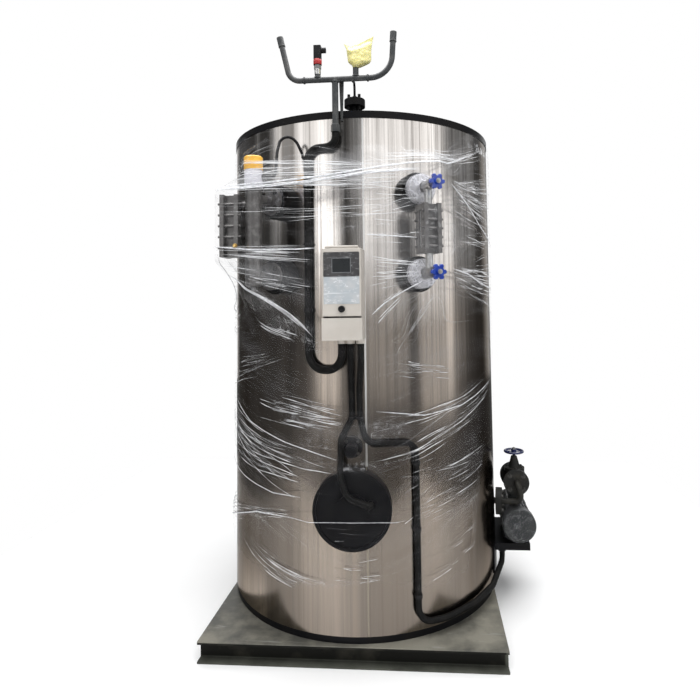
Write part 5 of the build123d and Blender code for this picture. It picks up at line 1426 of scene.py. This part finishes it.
# Opening torn in the film round the control box, and where the strands stop beside it, as half width,
# lower edge and upper edge
TEAR = (0.084, 1.175, 1.562)
STRAND_STOP = (0.078, 1.185, 1.553)
STRAND_LIFT = 0.0032
ROPE_LIFT = 0.0036


def film_hull(height, radius):
    """Outline of the tight film at a height, as points round the axis."""
    points = []
    for step in range(0, 360, 2):
        turn = math.radians(step)
        points.append((radius * math.sin(turn), -radius * math.cos(turn)))
    for angle, reach, low, high, low_end, high_end in FILM_PROPS:
        hold = min(1.0, max(0.0, (height - low_end) / (low - low_end)))
        hold = min(hold, max(0.0, (high_end - height) / (high_end - high)))
        if hold > 0:
            point = drum_point(angle, radius + (reach - radius) * hold, 0)
            points.append((point.x, point.y))
    points.sort()
    halves = []
    for order in (points, points[::-1]):
        half = []
        for x, y in order:
            while len(half) > 1:
                (ax, ay), (bx, by) = half[-2:]
                if (bx - ax) * (y - ay) - (by - ay) * (x - ax) > 0:
                    break
                half.pop()
            half.append((x, y))
        halves.append(half[:-1])
    return halves[0] + halves[1]


def hull_reach(hull, angle):
    """Distance from the axis to an outline in a direction."""
    turn = math.radians(angle)
    dx, dy = math.sin(turn), -math.cos(turn)
    for (ax, ay), (bx, by) in zip(hull, hull[1:] + hull[:1]):
        ex, ey = bx - ax, by - ay
        across = dx * ey - dy * ex
        if abs(across) < 1e-12:
            continue
        far = (ax * ey - ay * ex) / across
        share = (ax * dy - ay * dx) / across
        if far > 0 and -1e-9 <= share <= 1 + 1e-9:
            return far
    return DRUM_RADIUS


class FilmForm:
    """Radius of the tight film at any angle and height."""

    def __init__(self, radius):
        heights = [CHART_LOW + CHART_SPAN * row / CHART_ROWS for row in range(CHART_ROWS + 1)]
        self.rows = [film_hull(height, radius) for height in heights]
        self.known = {}

    def reach(self, angle, height):
        """Radius between two rows of outlines."""
        spot = min(CHART_ROWS - 1e-6, max(0.0, (height - CHART_LOW) / CHART_SPAN * CHART_ROWS))
        low = int(spot)
        values = []
        for index in (low, low + 1):
            key = (index, round(angle * STEPS_PER_DEGREE))
            if key not in self.known:
                self.known[key] = hull_reach(self.rows[index], key[1] / STEPS_PER_DEGREE)
            values.append(self.known[key])
        return values[0] + (values[1] - values[0]) * (spot - low)

    def smooth_reach(self, angle, height):
        """Radius between two known angles."""
        step = angle * STEPS_PER_DEGREE
        low = math.floor(step)
        first = self.reach(low / STEPS_PER_DEGREE, height)
        last = self.reach((low + 1) / STEPS_PER_DEGREE, height)
        return first + (last - first) * (step - low)


def film_low_edge(angle):
    """Lower edge of the film: ragged, and raised over the pump."""
    ragged = 0.05 * noise.noise(Vector((angle / 23.0, 1.3, 0)))
    ragged += 0.02 * noise.noise(Vector((angle / 5.0, 7, 0)))
    over_pump = fade(angle, 48, 62) * (1 - fade(angle, 112, 126))
    return sizes().film_low + ragged + over_pump * PUMP_CLEARANCE


def film_high_edge(angle):
    """Upper edge of the film: ragged, lowest at the front, and never over the rim."""
    ragged = 0.020 * noise.noise(Vector((angle / 15.0, 4.1, 0)))
    ragged += 0.012 * noise.noise(Vector((angle / 4.0, 2, 9)))
    front = fade(angle, -34, -18) * (1 - fade(angle, 26, 58))
    return min(FILM_TOP, sizes().film_high + 0.04 + ragged - 0.115 * front)


def film_chart(angle, height):
    """Place on the chart of drawn lines: they gather where the film hangs on the valves."""
    gather = 0.0
    for hold_angle, hold_height in FILM_HOLDS:
        off = height - hold_height
        near = math.exp(-abs(angle - hold_angle) / 13.0)
        gather += 3.2 * near * off * math.exp(-((off / 0.15) ** 2))
    sway = 0.035 * math.sin(math.radians(2.0 * angle + 40)) + 0.02 * math.sin(math.radians(5 * angle))
    droop = 0.07 * (1 - fade(height, 0.9, 1.4)) * math.cos(math.radians(3.1 * angle + 25))
    return math.radians(angle) * DRUM_RADIUS, height + gather + sway + droop


def film_weight(angle, height):
    """How white the film is at a place."""
    weight = 0.48 + 0.41 * fade(height, 1.05, 1.42)
    weight -= 0.38 * fade(angle, 52, 66) * (1 - fade(angle, 96, 120)) * (1 - fade(height, 0.95, 1.25))
    weight -= 0.25 * fade(height, 1.88, 2.0)
    round_cover = math.hypot((angle - 1.4) / 15.5, (height - 0.572) / 0.165)
    weight *= 0.20 + 0.80 * fade(round_cover, 0.75, 1.25)
    near_box = max(abs(angle) / 11.5, abs(height - 1.37) / 0.26)
    weight *= 0.55 + 0.45 * fade(near_box, 0.8, 1.3)
    for hold_angle, hold_height in FILM_HOLDS:
        off = ((angle - hold_angle) / 16.0) ** 2 + ((height - hold_height) / 0.10) ** 2
        weight += 0.35 * math.exp(-off)
    bundle = math.exp(-(((height - 1.80) / 0.075) ** 2)) * fade(angle, -42, -30) * (1 - fade(angle, 24, 60))
    haze = fade(height, 1.72, 1.84) * (1 - fade(height, 1.93, 2.02))
    haze = haze * fade(angle, -50, -30) * (1 - fade(angle, 70, 90))
    return weight + 0.55 * bundle + 0.45 * haze


def film_crumple(angle, height):
    """How crumpled the film is at a place, from 0 to 1."""
    most = 0.0
    for at_angle, at_height, wide, tall, strength in CRUMPLES:
        off = ((angle - at_angle) / wide) ** 2 + ((height - at_height) / tall) ** 2
        most = max(most, strength * math.exp(-off))
    return max(0.0, (most - 0.16) / 0.84)


def streak_tree():
    """Thin flat strands along paths of edges that hold their own thickness."""
    tree, keys, start, real = group_tree("drawn_strands", (
        ("Flatness", "NodeSocketFloat"),
        ("Material", "NodeSocketMaterial"),
    ))
    new = tree.nodes.new
    link = tree.links.new
    path = new("GeometryNodeMeshToCurve")
    link(start.outputs["Geometry"], path.inputs["Mesh"])
    upright = new("GeometryNodeSetCurveNormal")
    upright.mode = "Z_UP"
    link(path.outputs["Curve"], upright.inputs["Curve"])
    ring = new("GeometryNodeCurvePrimitiveCircle")
    ring.inputs["Resolution"].default_value = 4
    ring.inputs["Radius"].default_value = 1.0
    squeeze = new("ShaderNodeCombineXYZ")
    squeeze.inputs["Y"].default_value = 1.0
    squeeze.inputs["Z"].default_value = 1.0
    link(start.outputs["Flatness"], squeeze.inputs["X"])
    flat = new("GeometryNodeTransform")
    link(ring.outputs["Curve"], flat.inputs["Geometry"])
    link(squeeze.outputs["Vector"], flat.inputs["Scale"])
    thick = new("GeometryNodeInputNamedAttribute")
    thick.data_type = "FLOAT"
    thick.inputs["Name"].default_value = "thick"
    skin = new("GeometryNodeCurveToMesh")
    skin.inputs["Fill Caps"].default_value = True
    link(upright.outputs["Curve"], skin.inputs["Curve"])
    link(flat.outputs["Geometry"], skin.inputs["Profile Curve"])
    link(thick.outputs["Attribute"], skin.inputs["Scale"])
    link(skin.outputs["Mesh"], real.inputs["Geometry"])
    return tree, keys


def thick_paths(paths):
    """Mesh of edges along paths of (point, thickness)."""
    points = [tuple(point) for path in paths for point, width in path]
    widths = [width for path in paths for point, width in path]
    edges = []
    start = 0
    for path in paths:
        edges += [(start + index, start + index + 1) for index in range(len(path) - 1)]
        start += len(path)
    mesh = bpy.data.meshes.new("strand_paths")
    mesh.from_pydata(points, edges, [])
    mesh.attributes.new("thick", "FLOAT", "POINT").data.foreach_set("value", widths)
    return mesh


class BOILER_OT_stretch_film(bpy.types.Operator):
    """Wrap the drum, the gauges and the conduits in stretch film"""

    bl_idname = "boiler.stretch_film"
    bl_label = "Stretch film"

    def execute(self, context):
        form = FilmForm(FILM_GROUND + sizes().film_gap)
        sheet = self.sheet(form)
        tree, keys = streak_tree()
        front, rear = self.streaks(form)
        extras = []
        for name, paths, finish in (
            ("film_streaks", front, "strand"),
            ("film_streaks_rear", rear, "strand"),
            ("film_ropes", self.ropes(form), "rope"),
        ):
            mesh = grown(thick_paths(paths), tree, keys, Flatness=0.45, Material=FINISHES[finish])
            extras.append(piece(name, mesh))
        extras += self.caps()
        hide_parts("stretch_film")
        return {"FINISHED"}

    def sheet(self, shape):
        """The film itself: one skin round the drum, torn open round the control box."""
        around = sizes().film_steps
        rows = 165
        tear_wide, tear_low, tear_high = TEAR
        form = bmesh.new()
        chart = form.loops.layers.uv.new("drawn")
        weight = form.verts.layers.float.new("weight")
        crumple = form.verts.layers.float.new("crumple")
        grid = []
        where = {}
        for step in range(around + 1):
            angle = -180 + 360 * step / around
            low, high = film_low_edge(angle), film_high_edge(angle)
            column = []
            for row in range(rows + 1):
                height = low + (high - low) * row / rows
                rough = film_crumple(angle, height)
                crease = noise.noise(Vector((angle / 9.0, height * 6.0, 0.0)))
                crease += 0.5 * noise.noise(Vector((angle / 4.0, height * 30.0, 5.0)))
                spot = drum_point(angle, 1.0, height)
                folds = abs(noise.noise(spot * 21.0)) + 0.5 * abs(noise.noise(spot * 44.0))
                out = shape.smooth_reach(angle, height) + 0.0022 * (1 + crease) + 0.010 * rough * folds
                vert = form.verts.new(drum_point(angle, out, height))
                vert[weight] = film_weight(angle, height)
                vert[crumple] = rough
                where[vert] = film_chart(angle, height)
                column.append(vert)
            grid.append(column)
        for left, right in zip(grid, grid[1:]):
            for row in range(rows):
                corners = (left[row], right[row], right[row + 1], left[row + 1])
                middle = sum((vert.co for vert in corners), Vector()) / 4
                ragged = 0.008 * noise.noise(middle * 60)
                inside = abs(middle.x) < tear_wide + ragged and tear_low < middle.z < tear_high + ragged
                if inside and middle.y < 0:
                    continue
                form.faces.new(corners)
        loose = [vert for vert in form.verts if not vert.link_faces]
        bmesh.ops.delete(form, geom=loose, context="VERTS")
        for face in form.faces:
            for loop in face.loops:
                loop[chart].uv = where[loop.vert]
        mesh = bpy.data.meshes.new("stretch_film")
        form.to_mesh(mesh)
        form.free()
        return piece("stretch_film_wrap", mesh, material=FINISHES["film"])

    def streaks(self, shape):
        """Paths of the white strands, those that show from the front and those that don't."""
        dice = random.Random(11)
        stop_wide, stop_low, stop_high = STRAND_STOP
        edge = 0.004
        front, rear = [], []
        for number, thick, first_end, last_end, sag, length in STREAKS:
            angle_a, height_a, spread_a = first_end
            angle_b, height_b, spread_b = last_end
            for each in range(number):
                lane = dice.uniform(-1, 1)
                drift = 0.55 * lane + 0.45 * dice.uniform(-1, 1)
                share = min(1.0, length * dice.uniform(0.35, 1.15))
                first = dice.uniform(0, 1 - share)
                wide = thick * dice.uniform(0.45, 1.5)
                seed = dice.uniform(0, 50)
                count = max(6, int(abs(angle_b - angle_a) * share / 2.0))
                path = []
                for step in range(count + 1):
                    along_it = first + share * step / count
                    angle = angle_a + (angle_b - angle_a) * along_it
                    start = height_a + lane * spread_a
                    end = height_b + drift * spread_b
                    height = start + (end - start) * along_it - sag * 4 * along_it * (1 - along_it)
                    height += 0.0035 * noise.noise(Vector((angle * 0.11, seed, 0)))
                    height += 0.016 * lane * noise.noise(Vector((angle * 0.045, seed * 0.4, 5)))
                    turn = (angle + 180) % 360 - 180
                    if height > film_high_edge(turn) - edge or height < film_low_edge(turn) + edge:
                        continue
                    out = shape.smooth_reach(turn, height) + STRAND_LIFT
                    spot = drum_point(turn, out, height)
                    if abs(spot.x) < stop_wide and stop_low < height < stop_high and spot.y < 0:
                        if len(path) > 3:
                            front.append(path)
                        path = []
                        continue
                    end_share = min(step, count - step) / count
                    swell = 0.7 + 0.6 * noise.noise(Vector((step * 0.35, seed, 3)))
                    path.append((spot, wide * swell * (0.12 + 0.88 * fade(end_share, 0.0, 0.16))))
                if len(path) > 3:
                    middle = (angle_a + angle_b) / 2
                    (rear if middle > 90 else front).append(path)
        return front, rear

    def ropes(self, shape):
        """Paths of the strands where the film was drawn together."""
        runs = (
            (0.0040, ((-33.5, 1.752), (-22, 1.758), (-8, 1.772), (8, 1.798), (21, 1.806))),
            (0.0024, ((-34, 1.762), (-20, 1.772), (-4, 1.790), (12, 1.822), (34, 1.86), (62, 1.98))),
            (0.0028, ((-36, 1.715), (-52, 1.66), (-74, 1.60), (-100, 1.58))),
            (0.0022, ((-35, 1.52), (-46, 1.44), (-62, 1.34), (-84, 1.29))),
            (0.0022, ((31, 1.452), (44, 1.44), (58, 1.41), (80, 1.38))),
            (0.0026, ((31, 1.765), (44, 1.72), (58, 1.66), (82, 1.58))),
            (0.0016, ((-33, 1.545), (-24, 1.53), (-12, 1.527), (-7, 1.53))),
            (0.0016, ((7, 1.575), (12, 1.570), (20, 1.560))),
            (0.0018, ((21, 1.405), (17, 1.372), (12, 1.33), (8.5, 1.29))),
            (0.0014, ((-30, 1.44), (-24, 1.37), (-16, 1.30), (-9, 1.215))),
            (0.0014, ((-60, 0.93), (-44, 0.855), (-24, 0.80), (-3, 0.765))),
            (0.0013, ((10, 0.93), (28, 0.90), (46, 0.92), (70, 0.99))),
            (0.0013, ((-72, 0.66), (-50, 0.625), (-30, 0.60), (-16, 0.615))),
            (0.0018, ((-104, 0.31), (-84, 0.345), (-62, 0.43), (-40, 0.505), (-18, 0.533))),
            (0.0007, ((-22, 0.529), (-13, 0.534), (0, 0.537), (10, 0.536), (19, 0.534))),
        )
        paths = []
        for number, (thick, stops) in enumerate(runs):
            for strand in range(3):
                count = max(24, int(abs(stops[-1][0] - stops[0][0]) * 1.2))
                path = []
                for step in range(count + 1):
                    share = step / count * (len(stops) - 1)
                    part = min(int(share), len(stops) - 2)
                    mix = share - part
                    angle = stops[part][0] * (1 - mix) + stops[part + 1][0] * mix
                    height = stops[part][1] * (1 - mix) + stops[part + 1][1] * mix
                    twist = step * 0.23 + strand * 2.1 + number
                    height += thick * 0.9 * math.sin(twist)
                    out = shape.smooth_reach(angle, height) + ROPE_LIFT
                    out += thick * 0.35 * (1 + math.cos(twist))
                    taper = 0.15 + 0.85 * fade(min(step, count - step) / count, 0.0, 0.15)
                    path.append((drum_point(angle, out, height), thick * 0.62 * taper))
                paths.append(path)
        return paths

    def caps(self):
        """Film pulled over the flanges of the gauges and over the motor."""
        made = []
        flange_cap = (
            (0.0538, 0.661), (0.0556, 0.664), (0.0562, 0.672), (0.0560, 0.684), (0.0548, 0.6955),
            (0.0490, 0.7025), (0.0400, 0.7045), (0.0310, 0.7075), (0.0240, 0.7130), (0.0215, 0.7190),
        )
        for name, angle, height, finish in (
            ("upper_flange_film", LEVEL_ANGLE, GAUGE_HIGH, "wrap"),
            ("lower_flange_film", LEVEL_ANGLE, LEVEL_LOW, "wrap"),
            ("column_flange_film", -LEVEL_ANGLE, COLUMN_HIGH, "thin_wrap"),
        ):
            at = place(drum_point(angle, 0, height), outward(angle))
            made.append(self.cap(name, flange_cap, at, 0.0014, finish))
        motor_low, motor_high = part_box("pump_motor")
        middle = Vector(((motor_low[0] + motor_high[0]) / 2, 0, MOTOR_AXIS_HEIGHT))
        motor_cap = (
            (0.0700, -0.060), (0.0770, -0.020), (0.0790, 0.030), (0.0792, 0.080), (0.0785, 0.118),
            (0.0770, 0.140), (0.0700, 0.1515), (0.0540, 0.1535), (0.0380, 0.1530), (0.0200, 0.1545),
            (0.0, 0.1550),
        )
        made.append(self.cap("motor_film", motor_cap, place(middle, (0, -1, 0)), 0.0030, "thin_wrap"))
        return made

    def cap(self, name, profile, matrix, rough, finish):
        """Crinkled skin of revolution with a hair of thickness."""
        form = bmesh.new()
        fine = []
        for (r0, h0), (r1, h1) in zip(profile, profile[1:]):
            fine += [(r0 + (r1 - r0) * part / 3, h0 + (h1 - h0) * part / 3) for part in range(3)]
        fine.append(profile[-1])
        turned(fine, 72, matrix, form)
        form.normal_update()
        for vert in form.verts:
            lift = abs(noise.noise(vert.co * 42)) + 0.3 * abs(noise.noise(vert.co * 90))
            vert.co += vert.normal * rough * lift
        mesh = mesh_of(name, form)
        made = piece(name, mesh, material=FINISHES[finish])
        skin = made.modifiers.new("thickness", "SOLIDIFY")
        skin.thickness = 0.0004
        skin.offset = 1.0
        return made


FLOOR_HALF = 2.0
ROOM_LIGHT = 0.22
STUDIO_LIGHTS = (
    # name, place, aim, width, height, radiance
    ("overhead_box", (0.2, -0.6, 4.6), (0.2, -0.5, 0.0), 5.0, 5.0, 3.6),
    ("left_box", (-1.7, -4.1, 1.3), (0.0, 0.0, 1.2), 1.5, 2.2, 1.5),
    ("front_box", (1.7, -4.3, 1.3), (0.0, 0.0, 1.2), 2.8, 2.2, 0.7),
    ("right_box", (3.45, -1.45, 1.3), (0.3, -0.5, 1.2), 2.2, 2.2, 1.0),
    ("high_left_box", (-3.1, -3.3, 3.2), (0.0, 0.0, 2.0), 4.2, 1.4, 1.1),
    ("high_right_box", (3.0, -3.4, 3.2), (0.0, 0.0, 2.0), 6.4, 1.4, 1.0),
    ("rear_left_box", (-2.4, 3.6, 1.9), (0.0, 0.0, 1.2), 1.6, 3.0, 1.3),
    ("rear_right_box", (2.6, 3.4, 1.9), (0.0, 0.0, 1.2), 1.4, 3.0, 1.1),
)


class BOILER_OT_stage(bpy.types.Operator):
    """Set the floor, the soft light and the camera"""

    bl_idname = "boiler.stage"
    bl_label = "Studio stage"

    def execute(self, context):
        scene = context.scene
        form = bmesh.new()
        bmesh.ops.create_grid(form, x_segments=1, y_segments=1, size=FLOOR_HALF)
        floor = bpy.data.objects.new("studio_floor", mesh_of("studio_floor", form))
        scene.collection.objects.link(floor)
        ground = Finish("studio_floor", (0.91, 0.91, 0.91), 0.7)
        grain = ground.noise(3.0, detail=4.0)
        ground.set("Base Color", ground.blend(grain, (0.90, 0.90, 0.90), (0.93, 0.93, 0.93)))
        floor.data.materials.append(ground.material)
        self.backdrop(scene)
        for name, spot, aim, width, height, radiance in STUDIO_LIGHTS:
            lamp = bpy.data.lights.new(name, "AREA")
            lamp.shape = "RECTANGLE"
            lamp.size = width
            lamp.size_y = height
            lamp.energy = 4 * width * height * radiance
            stand = bpy.data.objects.new(name, lamp)
            stand.location = spot
            stand.rotation_euler = (Vector(aim) - Vector(spot)).to_track_quat("-Z", "Y").to_euler()
            stand.visible_camera = False
            scene.collection.objects.link(stand)
        camera = bpy.data.cameras.new("photo_camera")
        camera.sensor_width = SENSOR
        camera.lens = FOCAL_PIXELS / IMAGE_WIDTH * SENSOR
        camera.shift_x = (IMAGE_WIDTH / 2 - CENTRE_ACROSS) / IMAGE_WIDTH
        camera.shift_y = (CENTRE_DOWN - IMAGE_WIDTH / 2) / IMAGE_WIDTH
        yaw, pitch, roll = (math.radians(value) for value in CAMERA_TURN)
        ahead = Vector((-math.sin(yaw) * math.cos(pitch), math.cos(yaw) * math.cos(pitch), math.sin(pitch)))
        level = Vector((math.cos(yaw), math.sin(yaw), 0))
        above = level.cross(ahead)
        right = level * math.cos(roll) + above * math.sin(roll)
        top = above * math.cos(roll) - level * math.sin(roll)
        turn = Matrix((right, top, -ahead)).transposed()
        view = bpy.data.objects.new("photo_camera", camera)
        view.location = CAMERA_PLACE
        view.rotation_euler = turn.to_euler()
        scene.collection.objects.link(view)
        scene.camera = view
        return {"FINISHED"}

    def backdrop(self, scene):
        """White behind the boiler, and a dim room for the soft boxes to shine in."""
        world = bpy.data.worlds.new("studio")
        world.use_nodes = True
        nodes = world.node_tree.nodes
        room = nodes["Background"]
        room.inputs["Color"].default_value = (0.96, 0.98, 1.0, 1.0)
        room.inputs["Strength"].default_value = ROOM_LIGHT
        wall = nodes.new("ShaderNodeBackground")
        wall.inputs["Color"].default_value = (1.0, 1.0, 1.0, 1.0)
        seen = nodes.new("ShaderNodeLightPath")
        mixed = nodes.new("ShaderNodeMixShader")
        link = world.node_tree.links.new
        link(seen.outputs["Is Camera Ray"], mixed.inputs["Fac"])
        link(room.outputs["Background"], mixed.inputs[1])
        link(wall.outputs["Background"], mixed.inputs[2])
        link(mixed.outputs["Shader"], nodes["World Output"].inputs["Surface"])
        scene.world = world
        scene.view_settings.view_transform = "Standard"


class BOILER_PT_panel(bpy.types.Panel):
    """Sizes, colours and steps of the boiler dressing"""

    bl_idname = "BOILER_PT_panel"
    bl_label = "Steam boiler"
    bl_space_type = "VIEW_3D"
    bl_region_type = "UI"
    bl_category = "Boiler"

    def draw(self, context):
        layout = self.layout
        for group in (context.scene.boiler_sizes, context.scene.boiler_colours):
            for key in group.__annotations__:
                layout.prop(group, key)
        for step in STEPS:
            layout.operator(step.bl_idname)


STEPS = (
    BOILER_OT_stage,
    BOILER_OT_finishes,
    BOILER_OT_conduits,
    BOILER_OT_bolts,
    BOILER_OT_header,
    BOILER_OT_switch_bag,
    BOILER_OT_gauges,
    BOILER_OT_control_box,
    BOILER_OT_trim,
    BOILER_OT_stretch_film,
)
CLASSES = (BoilerSizes, BoilerColours, *STEPS, BOILER_PT_panel)


def register():
    """Make the sizes, the colours, the steps and the panel known."""
    for item in CLASSES:
        bpy.utils.register_class(item)
    bpy.types.Scene.boiler_sizes = PointerProperty(type=BoilerSizes)
    bpy.types.Scene.boiler_colours = PointerProperty(type=BoilerColours)


def unregister():
    """Take the sizes, the colours, the steps and the panel away."""
    del bpy.types.Scene.boiler_colours
    del bpy.types.Scene.boiler_sizes
    for item in reversed(CLASSES):
        bpy.utils.unregister_class(item)


def main():
    """Run the steps in order."""
    register()
    for step in STEPS:
        group, name = step.bl_idname.split(".")
        getattr(getattr(bpy.ops, group), name)()


if __name__ == "__main__":
    main()
